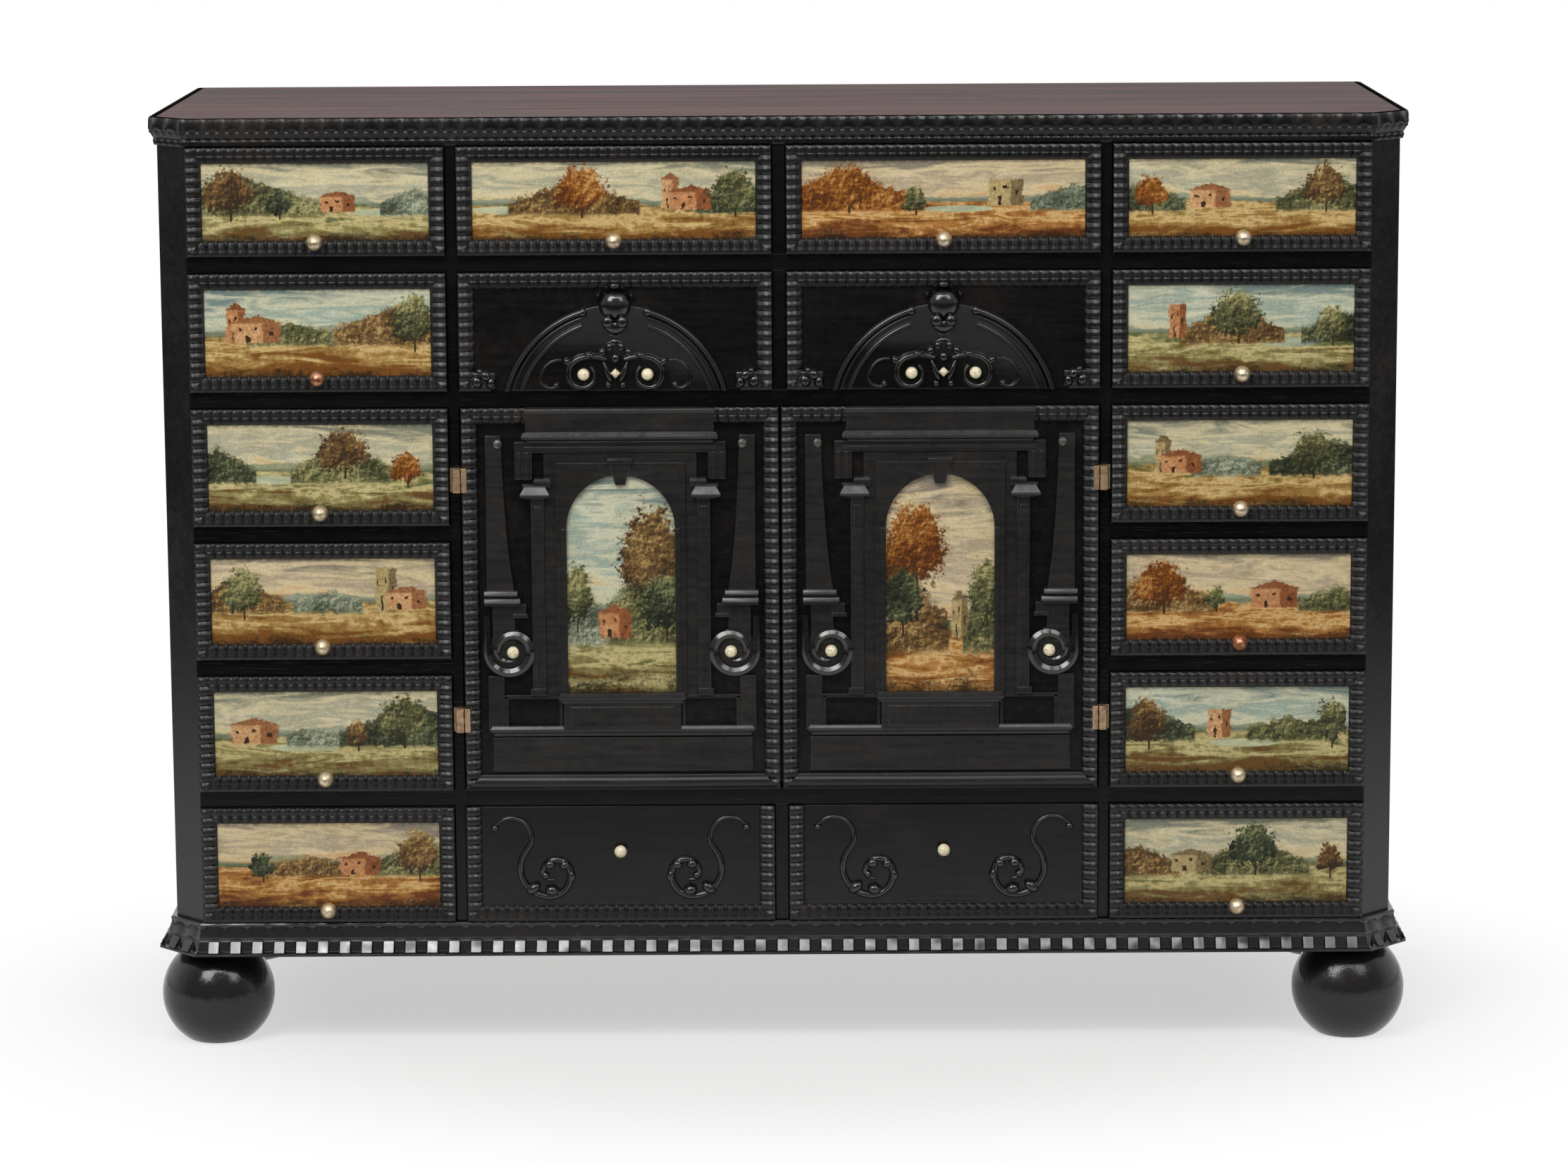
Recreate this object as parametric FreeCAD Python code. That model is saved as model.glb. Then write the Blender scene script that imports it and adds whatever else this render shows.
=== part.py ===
import FreeCAD, Part
import math
import os

# A table cabinet with painted drawers and a pair of portico doors, in millimetres.
# The front faces -Y, +Z is up, and the origin is at the middle of the underside.
# Forms on the front are given by how far they stand in front of the carcass, called proud.

Vector = FreeCAD.Vector
UP = Vector(0, 0, 1)
OUT = Vector(0, -1, 0)
RIGHT = Vector(1, 0, 0)
CENTRE = Vector(0, 0, 0)

# Carcass
carcass_depth = 335.0
corner_width = 24.0
corner_post_depth = 42.0
side_opening_width = 202.5
bay_width = 246.5
partition_thickness = 8.0
centre_partition_thickness = 10.0
rail_height = 12.6
top_row_height = 86.0
row_height = 94.0
row_count = 6
pediment_row = 2
first_door_row = 3
last_door_row = 5
top_board_thickness = 22.0
bottom_board_thickness = 25.6
back_thickness = 10.0

# Cornice and base mouldings
cornice_reach = 7.5
cornice_bead = 3.0
cornice_bead_reach = 2.4
cornice_fillet_height = 11.0
cornice_edge_round = 2.0
base_reach = 14.0
base_step_height = 13.4
base_step_reach = 9.5
base_top_reach = 4.5
base_plinth_height = 3.6

# Bun feet
foot_radius = 45.0
foot_height = 76.0

# Drawers
side_clearance = 0.6
runner_clearance = 0.3
top_clearance = 0.7
stop_clearance = 6.0
drawer_front_thickness = 12.0
drawer_side_thickness = 8.0
drawer_back_thickness = 8.0
drawer_bottom_thickness = 6.0
drawer_side_drop = 5.0

# Ripple frames and the panels inside them
frame_width = 12.5
frame_height = 8.0
frame_edge_height = 4.5
frame_crest = 6.2
frame_lip_height = 3.0
panel_thickness = 2.0

# Turned knobs and bone beads
knob_radius = 6.0
knob_neck_radius = 2.0
knob_base_radius = 3.6
knob_base_height = 2.0
knob_neck_length = 5.0
knob_head_length = 12.0
bead_radius = 5.2
bead_height = 5.4

# Door leaves and their frames
door_thickness = 12.0
door_stop_clearance = 0.3
door_meeting_gap = 2.0
door_end_gap = 0.6
plinth_height = 32.0
bottom_moulding_crest = 3.3

# Portico on each door: heights, then widths, then how proud each form stands
pedestal_height = 26.0
sill_height = 6.0
picture_width = 85.4
picture_height = 176.0
impost_rise = 159.0
impost_height = 10.0
impost_step_height = 4.0
architrave_height = 9.0
shelf_height = 7.0
entablature_height = 20.0
ledge_height = 3.5
keystone_height = 18.0
keystone_drop = 8.0
surround_border = 17.4
pilaster_width = 10.4
impost_overhang = 8.5
impost_step_overhang = 4.5
stile_width = 14.0
shelf_overhang = 4.0
stile_overhang = 5.0
entablature_half_width = 74.0
pedestal_half_width = 46.5
sill_overhang = 2.5
ledge_inset = 19.1
keystone_bottom_width = 8.0
keystone_top_width = 17.0
surround_proud = 3.0
pilaster_proud = 5.0
impost_proud = 9.0
impost_step_proud = 7.0
architrave_proud = 4.0
shelf_proud = 9.6
entablature_proud = 8.0
keystone_proud = 6.0
sill_proud = 9.0
pedestal_proud = 7.0
ledge_proud = 5.0

# Consoles with volutes, one at each side of a portico
console_inset = 17.6
console_top_width = 7.0
console_foot_width = 22.0
console_top_drop = 22.0
console_top_proud = 3.0
console_foot_proud = 6.5
console_block_rise = 148.0
console_block_width = 26.4
console_block_height = 11.0
console_block_proud = 8.5
console_neck_width = 15.0
volute_rise = 110.0
volute_inset = 20.9
volute_radius = 18.2
volute_inner_radius = 13.2
volute_band_width = 4.0
volute_disc_proud = 3.0
volute_band_proud = 7.0
volute_bead_shift = 3.4
volute_foot_width = 15.0
volute_foot_height = 37.5
volute_foot_proud = 4.0

# Broken pediment on each drawer above a door
pediment_radius = 88.0
pediment_drop = 22.0
pediment_rib_width = 7.0
pediment_inner_rib_width = 5.0
pediment_rib_gap = 3.0
pediment_rib_proud = 7.0
pediment_inner_rib_proud = 5.0
pediment_opening_width = 52.0
pediment_return = 25.0
tympanum_proud = 3.5
cartouche_width = 15.0
cartouche_height = 26.0
cartouche_proud = 5.5
urn_base_rise = 36.0
urn_foot_radius = 5.0
urn_neck_radius = 3.0
urn_neck_height = 7.0
urn_bulb_radius = 8.5
urn_bulb_height = 11.0
urn_waist_radius = 5.5
urn_ball_radius = 12.0
scroll_width = 4.0
scroll_proud = 7.0
scroll_rise = 27.5
scroll_arm_radius = 56.0
scroll_turn_radius = 14.0
scroll_curl_radius = 8.5

# Scrolls on each drawer below a door
low_scroll_width = 4.4
low_scroll_proud = 6.0
low_scroll_offset = 92.5
low_scroll_rise = 66.0
low_scroll_upper_radius = 19.5
low_scroll_lower_radius = 18.0
low_scroll_curl_radius = 12.0
low_scroll_eye_radius = 4.6
low_scroll_eye_proud = 5.0
bone_knob_rise = 52.0

# Hinges
hinge_height = 19.0
hinge_inset = 57.0
hinge_leaf_thickness = 1.0
hinge_leaf_depth = 11.0
hinge_leaf_proud = 2.5
hinge_play = 0.3
hinge_plate_thickness = 1.2
hinge_plate_margin = 0.2
hinge_barrel_radius = 3.5
hinge_bite = 0.6
hinge_axis_proud = 5.0
hinge_web_width = 3.0
hinge_pin_radius = 1.4
hinge_pin_clearance = 0.06
hinge_knuckle_gap = 0.2

# Round forms are drawn with this many straight sides to a full turn
band_sides = 16
ball_sides = 20
ball_bands = 6
turning_sides = 10

# Places that follow from the sizes
knob_reach = panel_thickness + knob_base_height + knob_neck_length + knob_head_length
front_y = (knob_reach - carcass_depth) / 2
back_y = front_y + carcass_depth
inner_back_y = back_y - back_thickness
drawer_back_y = inner_back_y - stop_clearance
bay_inner_x = centre_partition_thickness / 2
bay_outer_x = bay_inner_x + bay_width
side_inner_x = bay_outer_x + partition_thickness
side_outer_x = side_inner_x + side_opening_width
carcass_half_width = side_outer_x + corner_width
floor_z = foot_height + bottom_board_thickness
row_pitch = row_height + rail_height
ceiling_z = floor_z + (row_count - 1) * row_pitch + top_row_height


def row_bottom(row):
    return floor_z + (row_count - row) * row_pitch


def row_top(row):
    if row == 1:
        return ceiling_z
    return row_bottom(row) + row_height


# Basic solids
def board(x_low, x_high, y_low, y_high, z_low, z_high):
    return Part.makeBox(x_high - x_low, y_high - y_low, z_high - z_low, Vector(x_low, y_low, z_low))


def front_block(x_low, x_high, z_low, z_high, proud):
    return board(x_low, x_high, front_y - proud, front_y, z_low, z_high)


def outline_face(points, place):
    # Each point holds two places and the bulge of the side that leads to it,
    # as a share of that side's length, towards the left. A bulge of 0 is straight.
    edges = []
    for index, (across, up, bulge_share) in enumerate(points):
        before_across, before_up, _ = points[index - 1]
        begin = place(before_across, before_up)
        end = place(across, up)
        if bulge_share == 0:
            edges.append(Part.LineSegment(begin, end).toShape())
        else:
            through = place((before_across + across) / 2 - (up - before_up) * bulge_share,
                            (before_up + up) / 2 + (across - before_across) * bulge_share)
            edges.append(Part.Arc(begin, through, end).toShape())
    return Part.Face(Part.Wire(edges))


def on_front(centre_x, base, proud):
    def place(across, up):
        return Vector(centre_x + across, front_y - proud, base + up)
    return place


def raised_outline(points, centre_x, base, low, high):
    face = outline_face(points, on_front(centre_x, base, low))
    return face.extrude(OUT * (high - low))


def prism(points, z_low, z_high):
    # An upright solid over a plan with straight sides.
    def place(x, y):
        return Vector(x, y, z_low)
    return outline_face([(x, y, 0) for x, y in points], place).extrude(UP * (z_high - z_low))


def turned(rings, sides, place, turn=360):
    # A turning whose rings hold a radius and a height along its axis, from end to end.
    # Half a turn leaves a flat back, which is then one more side.
    whole = turn == 360
    steps = sides if whole else sides + 1
    levels = []
    for radius, height in rings:
        angles = [math.radians(turn * step / sides) for step in range(steps)]
        levels.append([place(radius * math.cos(angle), radius * math.sin(angle), height)
                       for angle in angles])
    outlines = [levels[0], levels[-1]]
    for low, high in zip(levels, levels[1:]):
        for step in range(steps):
            if whole or step > 0:
                outlines.append([low[step - 1], low[step], high[step], high[step - 1]])
    if not whole:
        outlines.append([level[0] for level in levels] + [level[-1] for level in reversed(levels)])
    faces = [Part.Face(Part.makePolygon(corners + corners[:1])) for corners in outlines]
    return Part.Solid(Part.Shell(faces))


def turned_on_front(rings, x, z, seat, sides):
    # A turned piece that stands straight out of the front.
    def place(across, up, height):
        return Vector(x + across, front_y - seat - height, z + up)
    return turned(rings, sides, place)


def direction(begin, end):
    return (end - begin).normalize()


def waste_block(point, toward, size):
    # A cube with the middle of one face on the point, on the side that is cut away.
    cube = Part.makeBox(size, size, size, Vector(0, -size / 2, -size / 2))
    cube.Placement = FreeCAD.Placement(point, FreeCAD.Rotation(RIGHT, toward))
    return cube


def mitred_lengths(corners, outline, up, closed=False):
    # One straight length of moulding for each side of the path, mitred where two meet.
    # The outline's first place runs to the side of the path, and its second runs up.
    reach = max(max(abs(across), abs(rise)) for across, rise, _ in outline)
    count = len(corners)
    sides = count if closed else count - 1
    lengths = []
    for side in range(sides):
        begin = corners[side]
        end = corners[(side + 1) % count]
        along = direction(begin, end)
        sideways = along.cross(up)

        def place(across, rise):
            return begin - along * reach + sideways * across + up * rise

        stock = outline_face(outline, place).extrude(along * (begin.distanceToPoint(end) + 2 * reach))
        before = along
        after = along
        if closed or side > 0:
            before = direction(corners[side - 1], begin)
        if closed or side < sides - 1:
            after = direction(end, corners[(side + 2) % count])
        stock = stock.cut(waste_block(begin, (before + along) * -1, 4 * reach))
        stock = stock.cut(waste_block(end, along + after, 4 * reach))
        lengths.extend(stock.Solids)
    return lengths


def follow_bends(start, heading, bends):
    # The arcs of a path whose bends join in line. Each bend holds a radius and a turn in
    # degrees, where a turn to the left is positive.
    across, up = start
    angle = math.radians(heading)
    arcs = []
    for radius, degrees in bends:
        turn = math.radians(degrees)
        side = math.copysign(1, turn)
        centre_across = across - side * radius * math.sin(angle)
        centre_up = up + side * radius * math.cos(angle)
        arcs.append((centre_across, centre_up, radius, side, angle - side * math.pi / 2, turn))
        angle += turn
        across = centre_across + side * radius * math.sin(angle)
        up = centre_up - side * radius * math.cos(angle)
    return arcs


def ribbon(arcs, width, place, rise):
    # A flat band of one width that follows the arcs, raised along rise.
    borders = []
    for offset in (width / 2, -width / 2):
        border = []
        for centre_across, centre_up, radius, side, spoke, turn in arcs:
            edge_radius = radius - side * offset
            steps = math.ceil(abs(turn) / math.tau * band_sides)
            for step in range(0 if not border else 1, steps + 1):
                angle = spoke + turn * step / steps
                border.append(place(centre_across + edge_radius * math.cos(angle),
                                    centre_up + edge_radius * math.sin(angle)))
        borders.append(border)
    left, right = borders
    corners = left + right[::-1]
    return Part.Face(Part.makePolygon(corners + corners[:1])).extrude(rise)


def with_mirror_image(solid, centre_x):
    return [solid, solid.mirror(Vector(centre_x, 0, 0), RIGHT)]


def save(node, solids):
    Part.makeCompound(solids).exportStep("parts/" + node + ".step")
    print(node, len(solids))


# Outlines of the mouldings: the reach, the height and the bulge of the side that leads there
cornice_outline = [
    (0, 0, 0),
    (0, top_board_thickness, 0),
    (cornice_reach - cornice_edge_round, top_board_thickness, 0),
    (cornice_reach, top_board_thickness - cornice_edge_round, 0.2),
    (cornice_reach, cornice_fillet_height, 0),
    (cornice_bead_reach, cornice_bead, -0.2),
    (cornice_bead_reach, 0, 0),
]
base_outline = [
    (0, 0, 0),
    (0, bottom_board_thickness, 0),
    (base_top_reach, bottom_board_thickness, 0),
    (base_step_reach, base_step_height, 0.2),
    (base_reach, base_plinth_height, -0.2),
    (base_reach, 0, 0),
]
frame_outline = [
    (0, 0, 0),
    (0, frame_edge_height, 0),
    (frame_crest * 0.4, frame_height * 0.9, 0),
    (frame_crest, frame_height, 0),
    (frame_width, frame_lip_height, 0),
    (frame_width, 0, 0),
]
half_round_outline = [
    (0, 0, 0),
    (0, frame_edge_height, 0),
    (frame_width, frame_lip_height, bottom_moulding_crest / frame_width),
    (frame_width, 0, 0),
]

# Rings of the small turnings: radius and height
knob_neck_height = knob_base_height + knob_neck_length
knob_rings = [
    (knob_base_radius, 0),
    (knob_neck_radius, knob_base_height),
    (knob_neck_radius, knob_neck_height),
    (knob_radius, knob_neck_height + knob_head_length * 0.36),
    (knob_radius * 0.88, knob_neck_height + knob_head_length * 0.72),
    (knob_radius * 0.3, knob_neck_height + knob_head_length),
]
bead_rings = [
    (bead_radius * 0.92, 0),
    (bead_radius, bead_height * 0.4),
    (bead_radius * 0.66, bead_height * 0.84),
    (bead_radius * 0.2, bead_height),
]


# Carcass
def canted_plan():
    # The sides, the canted corners and the front, from the back left to the back right.
    return [
        (-carcass_half_width, back_y),
        (-carcass_half_width, front_y + corner_width),
        (-side_outer_x, front_y),
        (side_outer_x, front_y),
        (carcass_half_width, front_y + corner_width),
        (carcass_half_width, back_y),
    ]


def moulding_round_carcass(outline, z):
    return mitred_lengths([Vector(x, y, z) for x, y in canted_plan()], outline, UP)


def corner_posts():
    plan = [
        (side_outer_x, front_y),
        (side_outer_x, front_y + corner_post_depth),
        (carcass_half_width, front_y + corner_post_depth),
        (carcass_half_width, front_y + corner_width),
    ]
    return with_mirror_image(prism(plan, floor_z, ceiling_z), 0)


def side_board():
    return board(side_outer_x, carcass_half_width, front_y + corner_post_depth, back_y,
                 floor_z, ceiling_z)


def partitions():
    half = centre_partition_thickness / 2
    door_back_y = front_y + door_thickness + door_stop_clearance
    spans = [
        (row_bottom(1), row_top(1), front_y),
        (row_bottom(pediment_row), row_top(pediment_row), front_y),
        (row_bottom(last_door_row), row_top(first_door_row), door_back_y),
        (row_bottom(row_count), row_top(row_count), front_y),
    ]
    side = board(bay_outer_x, side_inner_x, front_y, inner_back_y, floor_z, ceiling_z)
    boards = with_mirror_image(side, 0)
    for z_low, z_high, y_low in spans:
        boards.append(board(-half, half, y_low, inner_back_y, z_low, z_high))
    return boards


def dust_boards(x_low, x_high, rows):
    boards = []
    for row in rows:
        boards.append(board(x_low, x_high, front_y, inner_back_y,
                            row_top(row), row_top(row) + rail_height))
    return boards


def bun_feet():
    # Balls with a flat above and below.
    middle = foot_height / 2
    flat_angle = math.asin(middle / foot_radius)
    rings = []
    for band in range(ball_bands + 1):
        angle = flat_angle * (2 * band / ball_bands - 1)
        rings.append((foot_radius * math.cos(angle), middle + foot_radius * math.sin(angle)))
    feet = []
    foot_x = carcass_half_width + base_reach - foot_radius
    for x in (-foot_x, foot_x):
        for y in (front_y - base_reach + foot_radius, back_y - foot_radius):

            def place(across, along, height):
                return Vector(x + across, y + along, height)

            feet.append(turned(rings, ball_sides, place))
    return feet


# Drawers, built on the right and mirrored for the left
def drawer_span(x_low, x_high, row):
    return (x_low + side_clearance, x_high - side_clearance,
            row_bottom(row) + runner_clearance, row_top(row) - top_clearance)


def drawer_box(x_low, x_high, row):
    x_low, x_high, z_low, z_high = drawer_span(x_low, x_high, row)
    front_back_y = front_y + drawer_front_thickness
    side_top = z_high - drawer_side_drop
    inner_low = x_low + drawer_side_thickness
    inner_high = x_high - drawer_side_thickness
    bottom_top = z_low + drawer_bottom_thickness
    return [
        board(x_low, x_high, front_y, front_back_y, z_low, z_high),
        board(x_low, inner_low, front_back_y, drawer_back_y, z_low, side_top),
        board(inner_high, x_high, front_back_y, drawer_back_y, z_low, side_top),
        board(inner_low, inner_high, front_back_y, drawer_back_y, z_low, bottom_top),
        board(inner_low, inner_high, drawer_back_y - drawer_back_thickness, drawer_back_y,
              bottom_top, side_top),
    ]


def frame_corners(x_low, x_high, z_low, z_high):
    # The path round a rectangle on the front, with the frame's width lying inside it.
    return [
        Vector(x_high, front_y, z_low),
        Vector(x_low, front_y, z_low),
        Vector(x_low, front_y, z_high),
        Vector(x_high, front_y, z_high),
    ]


def knob(x, z):
    return turned_on_front(knob_rings, x, z, panel_thickness, turning_sides)


def painted_front(x_low, x_high, row):
    x_low, x_high, z_low, z_high = drawer_span(x_low, x_high, row)
    pieces = mitred_lengths(frame_corners(x_low, x_high, z_low, z_high), frame_outline, OUT, True)
    pieces.append(front_block(x_low + frame_width, x_high - frame_width,
                              z_low + frame_width, z_high - frame_width, panel_thickness))
    pieces.append(knob((x_low + x_high) / 2, z_low + frame_width + knob_base_radius))
    return pieces


def urn(x, base):
    # The front half of an upright urn, turned in one piece with its foot and ball.
    bulb_low = urn_neck_height
    bulb_high = bulb_low + urn_bulb_height
    ball_height = 2 * urn_ball_radius
    rings = [
        (urn_foot_radius, 0),
        (urn_neck_radius, bulb_low * 0.5),
        (urn_neck_radius, bulb_low),
        (urn_bulb_radius, bulb_low + urn_bulb_height * 0.4),
        (urn_bulb_radius * 0.9, bulb_low + urn_bulb_height * 0.7),
        (urn_waist_radius, bulb_high),
        (urn_ball_radius * 0.87, bulb_high + ball_height * 0.25),
        (urn_ball_radius, bulb_high + ball_height * 0.5),
        (urn_ball_radius * 0.75, bulb_high + ball_height * 0.83),
        (urn_ball_radius * 0.2, bulb_high + ball_height),
    ]

    def place(across, outward, height):
        return Vector(x + across, front_y - panel_thickness - outward, base + height)

    return turned(rings, turning_sides, place, 180)


def pediment_ribs(centre_x, base):
    # Two ribs on each side of the broken arch, trimmed level at the drawer's lower edge.
    outer_radius = pediment_radius + pediment_rib_width / 2
    inner_radius = (pediment_radius - pediment_rib_width / 2 - pediment_rib_gap
                    - pediment_inner_rib_width / 2)
    spoke = math.asin(pediment_drop / outer_radius)
    keep = front_block(centre_x - outer_radius, centre_x + outer_radius,
                       base, base + 2 * outer_radius, pediment_rib_proud)
    sizes = (
        (pediment_radius, pediment_rib_width, pediment_rib_proud),
        (inner_radius, pediment_inner_rib_width, pediment_inner_rib_proud),
    )
    pieces = []
    for radius, width, proud in sizes:
        top_spoke = math.acos(pediment_opening_width / 2 / radius)
        start = (radius * math.cos(spoke), radius * math.sin(spoke) - pediment_drop)
        arcs = follow_bends(start, math.degrees(spoke) + 90, [(radius, math.degrees(top_spoke - spoke))])
        rib = ribbon(arcs, width, on_front(centre_x, base, tympanum_proud),
                     OUT * (proud - tympanum_proud)).common(keep)
        for solid in rib.Solids:
            pieces += with_mirror_image(solid, centre_x)
    return pieces


def tympanum(centre_x, base):
    # The field under the broken arch, cut away behind the urn.
    radius = pediment_radius + pediment_rib_width / 2
    half = math.sqrt(radius ** 2 - pediment_drop ** 2)
    break_half = pediment_opening_width / 2
    break_rise = math.sqrt(radius ** 2 - break_half ** 2) - pediment_drop
    arc_angle = math.acos(break_half / radius) - math.asin(pediment_drop / radius)
    arch_bulge_share = math.tan(arc_angle / 4) / 2
    outline = [
        (-half, 0, 0),
        (-break_half, break_rise, arch_bulge_share),
        (-break_half, urn_base_rise, 0),
        (break_half, urn_base_rise, 0),
        (break_half, break_rise, 0),
        (half, 0, arch_bulge_share),
    ]
    return raised_outline(outline, centre_x, base, panel_thickness, tympanum_proud)


def cartouche(centre_x, base):
    half = cartouche_width / 2
    low = urn_base_rise - cartouche_height
    shoulder = low + cartouche_height * 0.6
    outline = [
        (0, low, 0.2),
        (-half, shoulder, 0.2),
        (-half * 0.6, urn_base_rise, -0.2),
        (half * 0.6, urn_base_rise, 0),
        (half, shoulder, -0.2),
    ]
    return raised_outline(outline, centre_x, base, tympanum_proud, cartouche_proud)


def pediment_scrolls(centre_x, base):
    # An arm on each side of the cartouche, which curls down round a bone bead.
    bends = [(scroll_arm_radius, -16), (scroll_turn_radius, -74), (scroll_curl_radius, -180)]
    arcs = follow_bends((cartouche_width / 2, scroll_rise), 0, bends)
    scroll = ribbon(arcs, scroll_width, on_front(centre_x, base, tympanum_proud),
                    OUT * (scroll_proud - tympanum_proud))
    bead_across, bead_rise = arcs[-1][:2]
    bead = turned_on_front(bead_rings, centre_x + bead_across, base + bead_rise,
                           tympanum_proud, turning_sides)
    return with_mirror_image(scroll, centre_x) + with_mirror_image(bead, centre_x)


def pediment_front(x_low, x_high, row):
    x_low, x_high, z_low, z_high = drawer_span(x_low, x_high, row)
    centre_x = (x_low + x_high) / 2
    lengths = mitred_lengths(frame_corners(x_low, x_high, z_low, z_high), frame_outline, OUT, True)
    gap = front_block(x_low + pediment_return, x_high - pediment_return,
                      z_low, z_low + frame_width, frame_height)
    frame = lengths[0].cut(gap).Solids + lengths[1:]
    ground = front_block(x_low, x_high, z_low, z_high, panel_thickness)
    for length in frame:
        ground = ground.cut(length)
    return (frame + ground.Solids + [tympanum(centre_x, z_low), cartouche(centre_x, z_low),
                                     urn(centre_x, z_low + urn_base_rise)]
            + pediment_ribs(centre_x, z_low) + pediment_scrolls(centre_x, z_low))


def low_scrolls(centre_x, base):
    # S-scrolls: an open upper curve that turns back into a closed lower volute with an eye.
    upper_spoke = 40
    spoke = math.radians(upper_spoke)
    start = (low_scroll_offset + low_scroll_upper_radius * math.cos(spoke),
             low_scroll_rise + low_scroll_upper_radius * math.sin(spoke))
    bends = [(low_scroll_upper_radius, 175), (low_scroll_lower_radius, -240),
             (low_scroll_curl_radius, -150)]
    arcs = follow_bends(start, upper_spoke + 90, bends)
    band = ribbon(arcs, low_scroll_width, on_front(centre_x, base, panel_thickness),
                  OUT * (low_scroll_proud - panel_thickness))
    eye_across, eye_rise = arcs[-1][:2]
    eye_rings = [(low_scroll_eye_radius, 0),
                 (low_scroll_eye_radius * 0.6, low_scroll_eye_proud - panel_thickness)]
    eye = turned_on_front(eye_rings, centre_x + eye_across, base + eye_rise,
                          panel_thickness, turning_sides)
    return with_mirror_image(band, centre_x) + with_mirror_image(eye, centre_x)


def low_front(x_low, x_high, row):
    x_low, x_high, z_low, z_high = drawer_span(x_low, x_high, row)
    centre_x = (x_low + x_high) / 2
    corners = frame_corners(x_low, x_high, z_low, z_high)
    pieces = mitred_lengths([corners[3]] + corners[:3], frame_outline, OUT)
    pieces.append(front_block(x_low + frame_width, x_high - frame_width,
                              z_low + frame_width, z_high, panel_thickness))
    pieces += low_scrolls(centre_x, z_low)
    pieces.append(knob(centre_x, z_low + bone_knob_rise))
    return pieces


# Doors, built on the right and mirrored for the left
door_low_x = door_meeting_gap / 2
door_high_x = bay_outer_x - hinge_leaf_thickness - hinge_play
door_centre_x = (door_low_x + door_high_x) / 2
door_half_width = (door_high_x - door_low_x) / 2
door_low_z = row_bottom(last_door_row) + door_end_gap
door_high_z = row_top(first_door_row) - door_end_gap
door_height = door_high_z - door_low_z
ledge_rise = frame_width + plinth_height
sill_rise = ledge_rise + pedestal_height
picture_rise = sill_rise + sill_height
impost_low = picture_rise + impost_rise
impost_high = impost_low + impost_height
entablature_low = door_height - entablature_height
shelf_low = entablature_low - shelf_height
architrave_low = shelf_low - architrave_height
surround_half = picture_width / 2 + surround_border
pilaster_outer = surround_half + pilaster_width
frame_inner = door_half_width - frame_width
ledge_half_width = frame_inner - ledge_inset
console_offset = frame_inner - console_inset
volute_offset = frame_inner - volute_inset
stile_outer = entablature_half_width + shelf_overhang + stile_overhang


def door_block(across_low, across_high, low, high, proud):
    # Across is counted from the middle of the door, and low and high from its lower edge.
    return front_block(door_centre_x + across_low, door_centre_x + across_high,
                       door_low_z + low, door_low_z + high, proud)


def door_pair(across_low, across_high, low, high, proud):
    return with_mirror_image(door_block(across_low, across_high, low, high, proud), door_centre_x)


def door_leaf():
    return [board(door_low_x, door_high_x, front_y, front_y + door_thickness, door_low_z, door_high_z)]


def door_frame():
    # Ripple mouldings up the sides and into the top corners, and a smooth one at the bottom.
    corners = frame_corners(door_low_x, door_high_x, door_low_z, door_high_z)
    ripple = mitred_lengths(corners, frame_outline, OUT, True)
    smooth = mitred_lengths(corners, half_round_outline, OUT, True)
    gap = door_block(-entablature_half_width, entablature_half_width,
                     entablature_low, door_height, frame_height)
    return [smooth[0], ripple[1], ripple[3]] + ripple[2].cut(gap).Solids


def round_headed(half_width, low, high):
    spring = high - half_width
    return [
        (-half_width, low, 0),
        (-half_width, spring, 0),
        (half_width, spring, 0.5),
        (half_width, low, 0),
    ]


def keystone():
    low = picture_rise + picture_height - keystone_drop
    high = low + keystone_height
    outline = [
        (-keystone_bottom_width / 2, low, 0),
        (-keystone_top_width / 2, high, 0),
        (keystone_top_width / 2, high, 0),
        (keystone_bottom_width / 2, low, 0),
    ]
    return raised_outline(outline, door_centre_x, door_low_z, 0, keystone_proud)


def door_picture():
    # The round-headed panel, notched for the keystone, and the two bone beads.
    outline = round_headed(picture_width / 2, picture_rise, picture_rise + picture_height)
    panel = raised_outline(outline, door_centre_x, door_low_z, 0, panel_thickness)
    bead = turned_on_front(bead_rings, door_centre_x + volute_offset - volute_bead_shift,
                           door_low_z + volute_rise, volute_disc_proud, turning_sides)
    return panel.cut(keystone()).Solids + with_mirror_image(bead, door_centre_x)


def portico_middle():
    # The surround and what lies over it, cut away where the round head of the picture reaches.
    outline = round_headed(picture_width / 2, picture_rise, picture_rise + picture_height)
    opening = raised_outline(outline, door_centre_x, door_low_z, 0, shelf_proud)
    shelf_half = entablature_half_width + shelf_overhang
    plate = door_block(-surround_half, surround_half, picture_rise, architrave_low, surround_proud)
    pieces = [
        plate.cut(keystone()),
        door_block(-stile_outer, stile_outer, architrave_low, shelf_low, architrave_proud),
        door_block(-shelf_half, shelf_half, shelf_low, entablature_low, shelf_proud),
        door_block(-entablature_half_width, entablature_half_width,
                   entablature_low, door_height, entablature_proud),
    ]
    return [solid for piece in pieces for solid in piece.cut(opening).Solids] + [keystone()]


def console_taper():
    # A board that widens and thickens downwards, from a narrow top to the block below it.
    levels = (
        (console_block_rise + console_block_height, console_foot_width, console_foot_proud),
        (door_height - console_top_drop, console_top_width, console_top_proud),
    )
    wires = []
    for rise, width, proud in levels:
        low_x = door_centre_x + console_offset - width / 2
        corners = [
            Vector(low_x, front_y, door_low_z + rise),
            Vector(low_x + width, front_y, door_low_z + rise),
            Vector(low_x + width, front_y - proud, door_low_z + rise),
            Vector(low_x, front_y - proud, door_low_z + rise),
        ]
        wires.append(Part.makePolygon(corners + corners[:1]))
    return Part.makeLoft(wires, True, True)


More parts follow.
